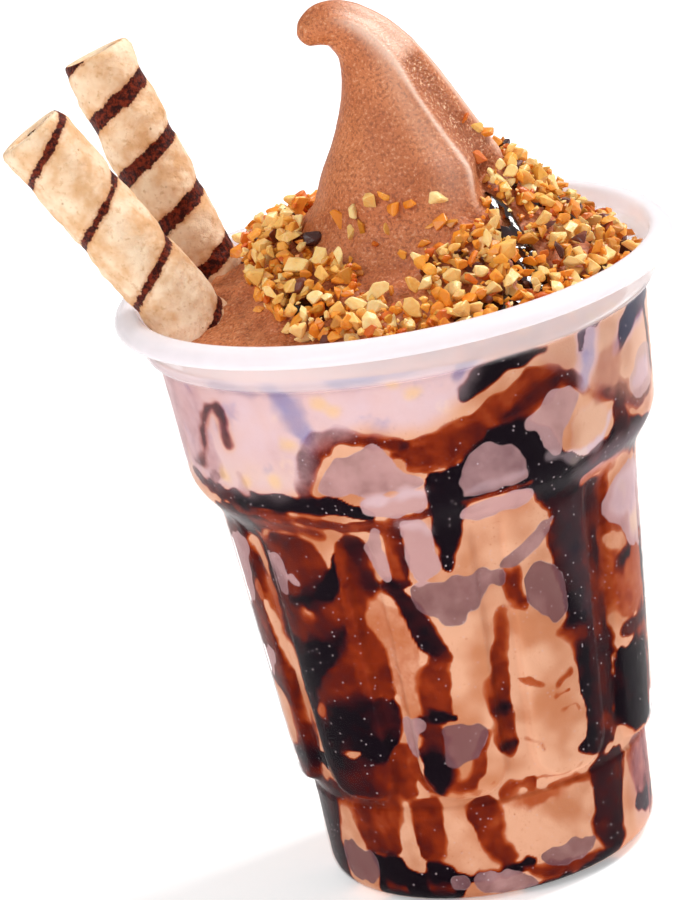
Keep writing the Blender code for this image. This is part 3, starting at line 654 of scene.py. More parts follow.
    lift([(-148.2, 64.7), (-145.6, 65.6), (-141.5, 65.5), (-140.5, 64.3), (-141, 60.7), (-142.4, 58.6),
            (-147.5, 58.0), (-148.3, 60)], 0.8)
    lift([(-138.8, 61.5), (-137.5, 62.4), (-135.6, 61.1), (-136.3, 60.2), (-138.4, 60.3)], 0.7)
    lift([(-186, 62), (-172, 64.6), (-168, 66), (-162, 67), (-158.7, 66.4), (-157.8, 65), (-158.4, 63),
            (-160.4, 61.5), (-161.6, 59), (-161.4, 56), (-166, 53.6), (-186, 50)], 0.72)
    lift([(-186, 44), (-170, 44.4), (-160.6, 45.6), (-163, 42.6), (-168, 39.4), (-186, 38)], 0.7)
    lift([(-113.2, 36), (-105.9, 35.6), (-106.2, 33.8), (-108.5, 33.2), (-109.5, 31), (-110.2, 27.6),
            (-112, 29.5), (-113.3, 32)], 0.8)
    lift([(-101.3, 34.3), (-90.4, 33.8), (-88.4, 32.3), (-89.4, 30.3), (-92.4, 27.4), (-101.5, 26.4),
            (-101, 30)], 0.95)
    lift([(-27.7, 68), (-35.7, 66.4), (-39, 62.4), (-37.4, 60.4), (-31, 59), (-26.5, 54), (-12, 51),
            (0, 52), (0, 64), (-12, 66.6), (-20, 67.6)], 0.7)
    cloud(0.7, [(-34.5, 65.5), (-27.5, 66.8), (-12, 65.6), (0, 63), (0, 59), (-24, 59.5), (-34, 61)], 1.4)
    cloud(0.6, [(-26, 59), (-12, 59), (-10, 53), (-24, 54.4)], 1.4, -0.7)
    cloud(0.4, [(-27, 66), (-34, 64.6), (-36, 62.4), (-28, 60), (-8, 58), (-8, 64)], 1.6, 0.3)
    lift([(-155.6, 9.8), (-147, 10.0), (-140, 8.8), (-136.5, 7.6), (-137, 4.6), (-141.3, 3.2),
            (-155.6, 3)], 1.0)
    lift([(-77.6, 6.6), (-68, 7.6), (-59.5, 7.4), (-54.5, 6.2), (-56.4, 4.6), (-64.5, 3.9),
            (-73.3, 4.3)], 0.9)
    lift([(-101, 5.4), (-92, 5.4), (-87, 5.2), (-81.4, 3.6), (-77.4, 0.8), (-92, 0.8), (-100.6, 2.6)], 0.85)
    lift([(-108.6, 5.3), (-102.4, 5.3), (-101.8, 3.4), (-108, 3.2)], 0.9)
    # Painted highlights along the edges of three gaps, laid as light strokes of film.
    cloud(0.75, [(-83.5, 75.9, 0.35), (-76, 76.3, 0.6), (-68.8, 76.7, 0.5)], 0.5)
    cloud(0.6, [(-107, 76.6, 0.5), (-98, 77.6, 0.8), (-93.4, 77.4, 0.6)], 0.8)
    cloud(0.5, [(-101, 71.6, 0.5), (-97, 71.4, 0.8), (-94.5, 69.8, 0.7)], 1.0)
    # Painted highlight along the lower edge of the largest gap, laid as a bright stroke of film.
    cloud(0.95, [(-61.5, 78.2, 0.4), (-55, 76.4, 0.8), (-49, 76.2, 0.9), (-44.6, 78.0, 0.9),
            (-40.8, 80.9, 0.5)], 0.5)
    cloud(0.3, [(-55.2, 79.0), (-52, 83.6), (-47, 84.4), (-41.6, 81.6), (-43.4, 78.0),
            (-54, 77.4)], 0.6, -0.6)
    # Runs at either side, where the front's filling meets the back's.
    for angle in (-186, 1):
        pour(0.86, [(angle, 75, 1.8), (angle + 3.5, 66, 2.2), (angle - 1, 57, 1.5),
                    (angle + 2.5, 48, 2.6), (angle - 2, 39, 1.7), (angle + 3, 30, 2.9),
                    (angle - 1, 20, 1.9), (angle + 2, 10, 2.4), (angle - 1, 2, 2.6)], 0.8)
        pour(0.5, [(angle + 2.5, 64, 0.8), (angle, 57, 1.5), (angle + 1, 51, 0.9)], 1.2)
        pour(0.46, [(angle + 2, 29, 1.0), (angle, 22, 1.6), (angle + 1, 14, 0.8)], 1.2)
    # Short runs round the right side.
    for depth, run in (
            (0.1, [(-9, 40, 1.2), (-12, 32, 2.3), (-8, 25, 1.9), (-10, 20, 1.0)]),
            (0.52, [(-17, 37, 0.8), (-16, 30, 1.3), (-18, 24, 0.8)]),
            (0.94, [(-12, 57, 1.0), (-14, 48, 1.9), (-11, 41, 1.1)]),
            (0.12, [(-5, 56, 1.0), (-7, 47, 1.7), (-5, 41, 0.9)]),
            (0.12, [(-9, 73, 1.2), (-12, 69, 1.6), (-7, 66, 0.9)]),
            (0.5, [(-15, 17, 1.3), (-13, 9, 1.9), (-16, 3, 1.0)])):
        pour(depth, run, 0.6)


def paint_back(wall):
    """Run the same syrup at random down the half of the cup that faces away."""
    draw = np.random.default_rng(11)
    wall.cloud(0.7, [(-2, 79), (-2, 101), (95, 101), (100, 92), (70, 84), (40, 86), (20, 80)], 3.0)
    wall.cloud(0.75, [(110, 80), (100, 101), (190, 101), (190, 78), (150, 79)], 3.0)
    # Runs down the panels.
    for panel in range(-1, 6):
        middle = PANEL_PHASE + 108.0 + PANEL_PITCH * panel
        for _ in range(5):
            angle, height = middle + draw.uniform(-17.0, 17.0), draw.uniform(40.0, 74.0)
            half, depth = draw.uniform(1.0, 3.4), draw.choice([0.47, 0.52, 0.74, 0.97])
            run = [(angle, height, half * 0.5)]
            for _ in range(draw.integers(3, 6)):
                angle, height = angle + draw.uniform(-4.5, 4.5), height - draw.uniform(4.0, 9.0)
                run.append((angle, max(height, 20.5), half * draw.uniform(0.5, 1.3)))
            wall.pour(depth, run, draw.uniform(0.45, 0.9))
    # The belt of thick syrup under the shoulder, with its drops.
    for angle in range(4, 188, 18):
        drop = draw.uniform(3.0, 9.0)
        here = angle + draw.uniform(-4.0, 4.0)
        wall.pour(0.95, [(here - 9, 75.4, 1.2), (here, 76.0 - 0.2 * drop, 2.0), (here + 8, 76.4, 1.4)])
        wall.pour(0.97, [(here, 76, 2.0), (here + draw.uniform(-2, 2), 76 - drop, 1.2)])
    # Broad soft blobs on the shoulder.
    for angle in range(10, 180, 34):
        middle, height = angle + draw.uniform(-8.0, 8.0), draw.uniform(82.0, 87.0)
        run = [
            (middle, height, 2.2),
            (middle + draw.uniform(5, 9), height + draw.uniform(1, 3), draw.uniform(2.6, 3.6)),
            (middle + draw.uniform(12, 16), height + draw.uniform(0, 2), 1.8)]
        wall.pour(draw.choice([0.5, 0.74]), run, 1.1)
    # Gaps, where the filling doesn't touch the wall.
    for _ in range(26):
        angle, height = draw.uniform(-2.0, 182.0), draw.choice([4.5, 12.0, 32.0, 46.0, 58.0, 66.0, 81.0])
        width, tall = draw.uniform(3.0, 8.5), draw.uniform(1.6, 4.4)
        ring = []
        for corner in range(9):
            turn = 2.0 * pi * corner / 9.0
            out = draw.uniform(0.75, 1.15)
            ring.append((angle + width * out * cos(turn), height + tall * out * sin(turn)))
        wall.lift(ring, draw.uniform(0.6, 1.0))
    # Runs down the foot.
    for _ in range(16):
        angle, half = draw.uniform(0.0, 180.0), draw.uniform(0.8, 2.4)
        run = [(angle, 20.0, half), (angle + draw.uniform(-5, 5), 10.0, half * 1.3),
               (angle + draw.uniform(-7, 7), 2.0, half)]
        wall.pour(draw.choice([0.47, 0.52, 0.8, 0.97]), run, 0.6)


def filling_finish():
    """Ice cream, syrup, gaps and film, told apart by the fields that the wall carries."""
    material, side = new_finish("filling_at_wall")
    fine, broad = side.grain(0.45, 3.0, 0.6), side.grain(11.0, 2.0)
    depth = side.field("syrup") + (side.grain(1.6, 3.0, 0.6) - 0.5) * 0.10
    depth = depth + (side.grain(4.5, 3.0, 0.6) - 0.5) * 0.62 * side.field("syrup").between(0.15, 0.42)
    cream = side.blend(broad.between(0.36, 0.6), colour(200, 130, 92), colour(228, 172, 140))
    cream = side.blend(fine.between(0.62, 0.74), cream, colour(196, 120, 82))
    syrup = side.node("ValToRGB", {"stops": (
        (0.20, colour(188, 102, 62)), (0.33, colour(168, 72, 32)), (0.46, colour(136, 42, 10)),
        (0.58, colour(100, 24, 9)), (0.74, colour(56, 13, 18)), (0.92, colour(15, 4, 13)))}, {"Fac": depth})
    tone = side.blend(depth.between(0.12, 0.26), cream, syrup)
    gap = side.field("gap")
    # Painted highlight: a thin light line along the edges of the gaps.
    rim = gap.between(0.1, 0.35) * gap.between(0.6, 0.4) * side.grain(4.0, 2.0).between(0.46, 0.6)
    shade = (side.field("shade") + side.grain(5.0, 3.0) * 0.44 - 0.22).between(0.66, 1.0)
    grey = side.blend(shade, colour(194, 152, 152), colour(114, 76, 82))
    tone = side.blend((gap + fine * 0.24 - 0.12).between(0.14, 0.56) * 0.88, tone, grey)
    tone = side.blend(rim * 0.22, tone, colour(214, 190, 196))
    film = side.field("film") * (0.66 + 0.6 * side.grain(5.0, 3.0))
    film = film * (1.0 - 0.72 * depth.between(0.25, 0.7))
    blue = side.field("blue")
    mottle = side.grain(7.0, 3.0, 0.6)
    milk = side.blend(mottle.between(0.56, 0.74) * 0.8, colour(224, 196, 203), colour(176, 163, 194))
    milk = side.blend(mottle.between(0.40, 0.28) * 0.6, milk, colour(244, 218, 200))
    milk = side.blend(blue.between(0.0, 1.0) * 0.8, milk, colour(112, 126, 182))
    milk = side.blend(blue.between(0.0, -1.0) * 0.8, milk, colour(240, 206, 156))
    tone = side.blend(film.most(0.0), tone, milk)
    speck = side.cells(980.0).between(0.21, 0.09) * side.cells(980.0, 1).between(0.60, 0.66)
    speck = speck * (0.4 + 0.6 * depth.between(0.4, 0.7))
    tone = side.blend(speck * 0.8, tone, colour(206, 184, 190))
    relief = side.bump(fine * 0.6 + depth.between(0.2, 0.7) * 0.4, 0.12)
    side.node("BsdfPrincipled", {}, {
        "Base Color": tone, "Roughness": 0.6, "Specular IOR Level": 0.04, "Normal": relief}).show()
    return material


FILL_FOOT, FILL_TOP = 0.5, 99.6
fill_heights = np.concatenate([[FILL_FOOT, 0.9, 1.4], np.arange(2.0, FILL_TOP, 0.345)])
filling_at_wall = filling_finish()
# Each half's name, its first and last angle, and its columns of points.
for half_name, first_angle, last_angle, columns in (
        ("filling_front", -184.0, 4.0, 334), ("filling_back", 4.0, 176.0, 204)):
    half_angle, half_height = np.meshgrid(np.linspace(first_angle, last_angle, columns), fill_heights)
    half_wall = Wallpaint(half_angle, half_height)
    paint_back(half_wall)
    paint_front(half_wall)
    turn = np.radians(half_angle[0])
    floor_level = np.full(columns, FILL_FOOT)
    under = np.array([np.stack([radius * np.cos(turn), radius * np.sin(turn), floor_level], axis=-1)
                      for radius in (0.0, 12.0, 22.0)])
    half_fields = {
        "syrup": half_wall.syrup, "gap": half_wall.gap, "shade": half_wall.shade,
        "film": half_wall.film, "blue": half_wall.blue}
    for field, values in half_fields.items():
        half_fields[field] = np.vstack([np.repeat(values[:1], len(under), axis=0), values])
    half = skin(half_name, np.vstack([under, half_wall.grid()]), closed=False, fields=half_fields)
    place_piece(half, filling_at_wall, "chocolate_ice_cream", "ice_cream")


# ---------------------------------------------------------------------------------------------
# The soft serve above the rim: chocolate ice cream pressed through a star nozzle, mounded in the
# cup and drawn up into a peak whose tip curls over to the left. Its ridges are sharp and shiny,
# with a painted highlight along them and painted shade in the furrow between them.
# ---------------------------------------------------------------------------------------------
# The mound's radii in mm, and its heights at them to the right, at the back, to the left and in
# front; the peak stands a little to the right of the cup's middle.
EDGE_RADIUS, MIDDLE_RADIUS, INNER_RADIUS, FOOT_RADIUS = 42.0, 30.0, 20.0, 16.2
MIDDLE_HEIGHTS = (105.0, 105.5, 106.0, 102.3)
INNER_HEIGHTS = (113.6, 113.0, 111.5, 109.4)
FOOT_HEIGHTS = (118.6, 117.4, 116.4, 114.6)
PEAK_OFFSET = 4.8
# Side, height and radius of the peak, up to its curled tip.
PEAK_SPINE = (
    (5.5, 122.0, 14.6), (5.5, 126.6, 12.2), (5.1, 131.4, 10.0), (4.4, 136.2, 8.0),
    (3.2, 140.4, 6.4), (1.3, 143.9, 5.0), (-1.2, 146.2, 4.2), (-3.2, 147.0, 3.8),
    (-5.0, 146.9, 3.5), (-6.6, 146.1, 2.8), (-7.4, 145.2, 1.9),
)


def mound_offset(radius):
    return PEAK_OFFSET * float(smoothstep(EDGE_RADIUS - radius, 0.0, EDGE_RADIUS - FOOT_RADIUS))


# Each mark that the nozzle left down the peak: its place and twist in degrees, its half width in
# degrees, its height as a share of the peak's radius, and how sharp it is.
NOZZLE_MARKS = (
    (-51.0, -16.0, 9.0, 0.05, 1.0), (-27.0, -14.0, 15.0, -0.15, 2.0), (-3.0, -8.0, 10.0, 0.035, 1.0),
    (-112.0, -6.0, 9.0, -0.022, 2.0), (-140.0, -6.0, 10.0, 0.015, 1.4), (44.0, -6.0, 16.0, -0.10, 2.0),
    (82.0, -8.0, 10.0, 0.04, 1.0), (120.0, -8.0, 16.0, -0.10, 2.0), (158.0, -8.0, 10.0, 0.02, 1.0),
)


def from_mark(turn, rise, place, twist):
    """How far round the peak an angle lies from a nozzle mark, in degrees."""
    return (np.degrees(turn) - place - twist * smoothstep(rise, -0.08, 0.32) + 180.0) % 360.0 - 180.0


def star(turn, rise):
    """The peak's outline as a share of its radius."""
    total = np.ones_like(turn)
    for place, twist, half, height, sharp in NOZZLE_MARKS:
        away = np.abs(from_mark(turn, rise, place, twist))
        total += height * (1.0 - 0.7 * rise) * np.exp(-(away / half) ** sharp)
    return total


def mound_rings(turn):
    """Rings of points from the cup's wall up to the tip of the peak, at coarse spacing."""
    places = [-EDGE_RADIUS, -MIDDLE_RADIUS, -INNER_RADIUS, -FOOT_RADIUS]
    heights = np.array([
        around(values, turn)
        for values in (EDGE_HEIGHTS, MIDDLE_HEIGHTS, INNER_HEIGHTS, FOOT_HEIGHTS)])
    rings = []
    for radius in (EDGE_RADIUS, 38.0, 34.0, MIDDLE_RADIUS, 25.0, INNER_RADIUS, FOOT_RADIUS):
        level = np.array([np.interp(-radius, places, column) for column in heights.T])
        reach = np.full_like(turn, radius)
        if radius == EDGE_RADIUS:
            reach = wall_reach(np.degrees(turn), level) - FILL_DEPTH - 0.1
        if radius == FOOT_RADIUS:
            reach = reach * star(turn, 0.0)
        side = mound_offset(radius) + reach * np.cos(turn)
        rings.append(np.stack([side, reach * np.sin(turn), level], axis=-1))
    spine = [np.array([side, 0.0, height]) for side, height, _ in PEAK_SPINE]
    for index, centre in enumerate(spine):
        along = spine[min(index + 1, len(spine) - 1)] - spine[max(index - 1, 0)]
        along = along / np.linalg.norm(along) if index else np.array([0.0, 0.0, 1.0])
        across = np.cross([0.0, 1.0, 0.0], along)
        rise = index / (len(spine) - 1)
        reach = PEAK_SPINE[index][2] * star(turn, rise)
        ring = centre + across * (reach * np.cos(turn))[:, None]
        rings.append(ring + np.array([0.0, 1.0, 0.0]) * (reach * np.sin(turn))[:, None])
    tip = spine[-1] + (spine[-1] - spine[-2]) / np.linalg.norm(spine[-1] - spine[-2]) * 0.9
    near_tip = np.repeat((spine[-1] + (tip - spine[-1]) * 0.75)[None], len(turn), axis=0)
    rings.append(near_tip + (rings[-1] - spine[-1]) * 0.55)
    rings.append(np.repeat(tip[None], len(turn), axis=0))
    return np.array(rings)


def through(rings, places):
    """Points on smooth lines through the rings, at places counted in rings."""
    low = np.clip(np.floor(places).astype(int), 0, len(rings) - 2)
    share = (places - low)[:, None, None]
    before, start, end, after = (rings[np.clip(low + step, 0, len(rings) - 1)] for step in (-1, 0, 1, 2))
    return 0.5 * (
        2 * start + (end - before) * share
        + (2 * before - 5 * start + 4 * end - after) * share ** 2
        + (3 * start - before - 3 * end + after) * share ** 3)


def normals_of(grid):
    """Outward normals of a closed grid of points."""
    round_step = np.roll(grid, -1, axis=1) - np.roll(grid, 1, axis=1)
    up_step = np.gradient(grid, axis=0)
    out = np.cross(round_step, up_step)
    return out / np.maximum(np.linalg.norm(out, axis=-1, keepdims=True), 1e-9)


def lumps(points, size, octaves=3, seed=0.0):
    """Lumpy noise, about -1 to 1, at points in mm."""
    flat = points.reshape(-1, 3) / size + seed
    values = [noise.fractal(Vector(point), 0.8, 2.0, octaves) for point in flat.tolist()]
    return np.array(values).reshape(points.shape[:-1])


serve_turn = np.linspace(-pi, pi, 381)[:-1]
serve_rings = mound_rings(serve_turn)
serve_places = np.concatenate([
    np.linspace(0.0, 6.0, 100)[:-1], np.linspace(6.0, len(serve_rings) - 1.0, 135)])
serve_grid = through(serve_rings, serve_places)
serve_out = normals_of(serve_grid)
on_mound = 1.0 - smoothstep(serve_places, 4.6, 7.5)[:, None]
away_from_edge = smoothstep(serve_places, 0.0, 0.8)[:, None]
swell = lumps(serve_grid, 9.0) * (0.9 * on_mound + 0.16)
swell = swell + lumps(serve_grid, 1.9, seed=7.0) * (0.16 * on_mound + 0.03)
serve_grid = serve_grid + serve_out * (swell * away_from_edge)[..., None]
serve_rise = np.clip((serve_places - 7.0) / (len(PEAK_SPINE) - 1.0), 0.0, 1.0)[:, None]
on_peak = smoothstep(serve_places, 5.4, 7.0)[:, None]
up_peak = on_peak * smoothstep(1.0 - serve_rise, 0.25, 0.5)


def along_mark(place, twist, half, sharp=2):
    """1 along a line twisted up the peak, fading over its half width, all in degrees."""
    return np.exp(-(from_mark(serve_turn[None], serve_rise, place, twist) / half) ** sharp)


# Painted highlight on the ridges and where they meet at the top, where the surface is also glossier, and
# painted shade with rougher grain in the furrow between the two.
crest = along_mark(-51.0, -16.0, 2.2 + 9.0 * smoothstep(serve_rise, 0.22, 0.5)) * up_peak
crest = crest + 0.9 * along_mark(-3.0, -8.0, 5.0) * up_peak
crest = crest + 0.28 * along_mark(-63.0, -16.0, 12.0) * up_peak
saddle = along_mark(-25.0, -14.0, 30.0, 4) * smoothstep(serve_rise, 0.34, 0.40)
crest = np.maximum(crest, 0.8 * saddle * up_peak)
furrow = along_mark(-27.0, -14.0, 20.0, 4) * on_peak
furrow = furrow * smoothstep(0.38 - serve_rise, 0.0, 0.03)
soft_serve_top = skin("soft_serve_top", serve_grid, fields={"crest": crest, "furrow": furrow})
soft_serve, serve = new_finish("soft_serve")
ice = serve.grain(0.55, 3.0, 0.65)
patchy = serve.grain(8.0, 2.0)
ridge_gloss_and_painted_highlight, furrow_shade_sparkle_and_grain = serve.field("crest"), serve.field("furrow")
serve_tone = serve.blend(patchy.between(0.3, 0.7), colour(187, 104, 58), colour(208, 125, 76))
# Painted shade: a darker brown down the furrow.
serve_tone = serve.blend(furrow_shade_sparkle_and_grain * 0.75, serve_tone, colour(160, 88, 52))
serve_tone = serve.blend(ice.between(0.50, 0.64) * 0.7, serve_tone, colour(140, 74, 44))
# Painted highlight: bright glints on the grain, more of them in the furrow.
serve_tone = serve.blend(ice.between(0.44, 0.34) * (0.36 + 0.5 * furrow_shade_sparkle_and_grain), serve_tone, colour(244, 196, 158))
# Painted highlight along the ridges, where they meet at the top and down the right edge.
serve_tone = serve.blend(ridge_gloss_and_painted_highlight * 0.75, serve_tone, colour(250, 214, 192))
serve_relief = serve.bump(ice + serve.cells(1500.0) * (0.25 + 0.9 * furrow_shade_sparkle_and_grain), 0.22, 0.9)
serve.node("BsdfPrincipled", {}, {
    "Base Color": serve_tone, "Roughness": 0.34 + 0.3 * serve.grain(1.2, 2.0) - 0.2 * ridge_gloss_and_painted_highlight,
    "Normal": serve_relief, "Specular IOR Level": 0.4, "Subsurface Weight": 0.15,
    "Subsurface Radius": (1.0, 0.45, 0.3), "Subsurface Scale": 0.002}).show()
place_piece(soft_serve_top, soft_serve, "chocolate_ice_cream", "ice_cream")


# ---------------------------------------------------------------------------------------------
# Syrup poured over the mound before the nuts: thick glossy fudge that lies in pools between
# them, mostly right of the peak and in front of it.
# ---------------------------------------------------------------------------------------------
ABOVE_ALL = 170.0
serve_mesh = soft_serve_top.data
serve_tree = BVHTree.FromPolygons(
    [vertex.co / MM for vertex in serve_mesh.vertices],
    [tuple(face.vertices) for face in serve_mesh.polygons])


def drop_onto(side, depth):
    """Where a thing let fall at this place lands on the soft serve, and the surface's normal."""
    start, down = Vector((side, depth, ABOVE_ALL)), Vector((0.0, 0.0, -1.0))
    landed, normal, _, _ = serve_tree.ray_cast(start, down)
    return landed, normal


# Pools: side, depth and half width of each, in mm.
SYRUP_POOLS = (
    ((22.0, -2.0, 3.2), (27.0, 2.0, 4.0), (31.0, -3.0, 3.0)),
    ((20.0, 8.0, 3.0), (26.0, 12.0, 3.5)),
    ((18.5, -11.0, 2.6), (20.5, -17.5, 3.0), (22.0, -23.5, 2.6)),
    ((9.0, -31.0, 2.0), (15.0, -29.0, 3.0), (21.0, -28.0, 2.2)),
    ((26.0, -24.0, 2.4), (30.0, -20.0, 1.8)),
    ((-2.0, -36.5, 1.4), (2.0, -36.0, 1.8)),
    ((-18.0, -16.0, 1.6), (-15.0, -20.0, 1.8)),
    ((5.0, 26.0, 3.0), (14.0, 27.0, 3.5), (22.0, 23.0, 3.0)),
    ((-10.0, 25.0, 2.6), (-16.0, 20.0, 2.2)),
    ((35.0, 6.0, 2.4), (33.0, 13.0, 2.8)),
)
POOL_STEP = 0.42
POOL_BRIM = 40.3
pool_side, pool_depth = np.meshgrid(
    np.arange(-40.0, 40.1, POOL_STEP), np.arange(-41.0, 41.1, POOL_STEP))
pool_edge = np.full_like(pool_side, 1e3)
for pool in SYRUP_POOLS:
    for (side0, depth0, half0), (side1, depth1, half1) in zip(pool, pool[1:]):
        share, away = beside(
            pool_side - side0, pool_depth - depth0, side1 - side0, depth1 - depth0)
        pool_edge = np.minimum(pool_edge, away - (half0 + (half1 - half0) * share))
pool_edge += 0.7 * waves(21, pool_side * 2.0, pool_depth, 3.4)
# A pool bulges inside its edge and dips under the ice cream just outside it.
bulge = 0.9 * np.sqrt(1.0 - (1.0 + np.clip(pool_edge, -2.0, 0.0) / 2.0) ** 2 + 1e-9)
pool_lift = np.where(pool_edge < 0.0, bulge, -0.6 * pool_edge - 0.05)
wet = (pool_edge < 0.7) & (np.hypot(pool_side, pool_depth) < POOL_BRIM)
pool_points, pool_faces, pool_index = [], [], {}
for row, column in np.argwhere(wet).tolist():
    landed, normal = drop_onto(pool_side[row, column], pool_depth[row, column])
    if landed is not None and normal.z > 0.55:
        pool_index[row, column] = len(pool_points)
        pool_points.append(tuple(landed + normal * float(pool_lift[row, column])))
for row, column in pool_index:
    corners = [(row, column), (row, column + 1), (row + 1, column + 1), (row + 1, column)]
    if all(corner in pool_index for corner in corners):
        pool_faces.append([pool_index[corner] for corner in corners])
pool_mesh = bpy.data.meshes.new("syrup_on_top")
pool_mesh.from_pydata([(x * MM, y * MM, z * MM) for x, y, z in pool_points], [], pool_faces)
pool_mesh.shade_smooth()
syrup_on_top = put_in_scene("syrup_on_top", pool_mesh)
fudge_syrup, fudge = new_finish("fudge_syrup")
thin = fudge.grain(3.0, 2.0).between(0.35, 0.7)
fudge.node("BsdfPrincipled", {}, {
    "Base Color": fudge.blend(thin, colour(26, 10, 12), colour(58, 20, 14)),
    "Roughness": 0.08 + 0.08 * fudge.grain(2.0), "IOR": 1.48, "Coat Weight": 0.5, "Coat Roughness": 0.05,
    "Normal": fudge.bump(fudge.grain(2.2, 1.0), 0.1)}).show()
place_piece(syrup_on_top, fudge_syrup, "chocolate_syrup")


# ---------------------------------------------------------------------------------------------
# Chopped roasted nuts strewn over the mound: cut bits of 1.5 to 6 mm in five kinds, from pale
# to dark roasted, with a few that keep their skin. They lie in two or three layers, thinning
# out on the foot of the peak, where single bits are pressed into the ice cream.
# ---------------------------------------------------------------------------------------------
# Each kind's name, share of the heap, inside and outside colours, and size range in mm.
NUT_KINDS = (
    ("nuts_pale", 0.36, (250, 218, 150), (242, 186, 96), (2.1, 4.2)),
    ("nuts_golden", 0.36, (246, 172, 68), (232, 138, 34), (2.0, 3.9)),
    ("nuts_roasted", 0.12, (228, 126, 36), (200, 88, 18), (1.8, 3.6)),
    ("nuts_olive", 0.12, (224, 164, 64), (200, 128, 36), (1.9, 3.6)),
    ("nuts_skinned", 0.04, (112, 46, 24), (66, 24, 16), (2.2, 4.2)),
)
nut_draw = np.random.default_rng(5)


def cut_bit(draw, fine):
    """The hull of a few random points, its edges cut unless fine: one bit of nut about 1 across."""
    bm = bmesh.new()
    stretch = (draw.uniform(0.8, 1.25), draw.uniform(0.65, 1.0), draw.uniform(0.45, 0.8))
    for _ in range(draw.integers(9, 14)):
        point = Vector(draw.normal(size=3)).normalized() * draw.uniform(0.42, 0.56)
        bm.verts.new((point.x * stretch[0], point.y * stretch[1], point.z * stretch[2]))
    hull = bmesh.ops.convex_hull(bm, input=bm.verts)
    within = [part for part in hull["geom_interior"] if isinstance(part, bmesh.types.BMVert)]
    bmesh.ops.delete(bm, geom=within, context="VERTS")
    bmesh.ops.dissolve_limit(bm, angle_limit=radians(14.0), verts=bm.verts, edges=bm.edges)
    if not fine:
        bmesh.ops.bevel(
            bm, geom=list(bm.edges), offset=0.05, segments=1, profile=0.5, affect="EDGES",
            clamp_overlap=True)
    bmesh.ops.triangulate(bm, faces=bm.faces)
    bm.verts.index_update()
    points = np.array([vertex.co[:] for vertex in bm.verts])
    faces = [[vertex.index for vertex in face.verts] for face in bm.faces]
    bm.free()
    return points, np.array(faces)


SMALLEST_BIT = 1.5
bits = [cut_bit(nut_draw, False) for _ in range(24)]
crumbs = [cut_bit(nut_draw, True) for _ in range(12)]
heap = {name: ([], [], []) for name, *_ in NUT_KINDS}


def lay_bit(kind, centre, turn, size):
    """Add one bit to its kind's joined mesh."""
    cuts = bits if size > SMALLEST_BIT else crumbs
    points, faces = cuts[nut_draw.integers(len(cuts))]
    all_points, all_faces, all_tones = heap[kind]
    start = sum(len(block) for block in all_points)
    all_points.append((points * size) @ np.array(turn.to_matrix()).T + np.array(centre))
    all_faces.append(faces + start)
    all_tones.append(np.full(len(points), nut_draw.uniform()))


def random_turn():
    spin = Vector(nut_draw.normal(size=3)).normalized()
    return Matrix.Rotation(nut_draw.uniform(0.0, 2.0 * pi), 3, spin).to_quaternion()


# The height of the heap so far, kept in small cells over the mound.
CELL, HEAP_SPAN, HEAP_DEPTH = 0.4, 90.0, 3.9
cells = int(HEAP_SPAN / CELL)
heap_top = np.full((cells, cells), np.nan)
# The ring's outer and inner edge, to the right, at the back, to the left and in front.
NUT_OUTER, NUT_INNER = (40.2, 41.0, 27.0, 39.5), (17.6, 21.0, 17.0, 20.5)
# Bare places on the mound: side, depth and radius.
BARE = (
    (-21.0, -35.5, 6.0), (-28.0, -31.0, 4.0), (2.0, -38.0, 4.4), (0.5, -27.0, 3.4),
    (-2.0, -22.0, 5.0), (9.0, -37.5, 2.0), (24.0, -31.5, 2.2), (19.5, -13.5, 2.2),
    (20.5, -18.5, 2.0), (21.5, -23.0, 1.8), (26.0, -20.0, 1.2), (12.0, -30.0, 1.2),
)


def heap_share(side, depth):
    """How thickly the nuts lie at a place, from 0 to 1."""
    turn = np.arctan2(depth, side - 2.0)
    reach = np.hypot(side - 2.0, depth)
    outer, inner = around(NUT_OUTER, turn), around(NUT_INNER, turn)
    share = smoothstep(reach, inner - 1.5, inner + 2.0)
    share = share * (1.0 - smoothstep(reach, outer - 1.5, outer + 0.6))
    for bare_side, bare_depth, radius in BARE:
        away = np.hypot(side - bare_side, depth - bare_depth)
        share = share * smoothstep(away, radius - 1.5, radius + 1.5)
    return float(share)


def cell_of(side, depth):
    return int((depth + HEAP_SPAN / 2.0) / CELL), int((side + HEAP_SPAN / 2.0) / CELL)


def drop_bit(side, depth, kind, size, sink=0.0):
    """Let one bit fall on the mound or on the bits below it, unless the heap is high enough."""
    landed, normal = drop_onto(side, depth)
    if landed is None or normal.z < 0.5:
        return
    row, column = cell_of(side, depth)
    reach = max(int(size * 0.42 / CELL), 1)
    around_here = heap_top[row - reach:row + reach + 1, column - reach:column + reach + 1]
    level = landed.z
    if np.isfinite(around_here).any():
        filled = np.where(np.isnan(around_here), landed.z, around_here)
        level = max(level, float(np.nanmean(filled)))
    if level - landed.z > HEAP_DEPTH:
        return
    centre = Vector((side, depth, level + size * (0.24 - sink)))
    around_here[:] = np.fmax(around_here, centre.z + size * 0.2)
    lay_bit(kind, centre, random_turn(), size)


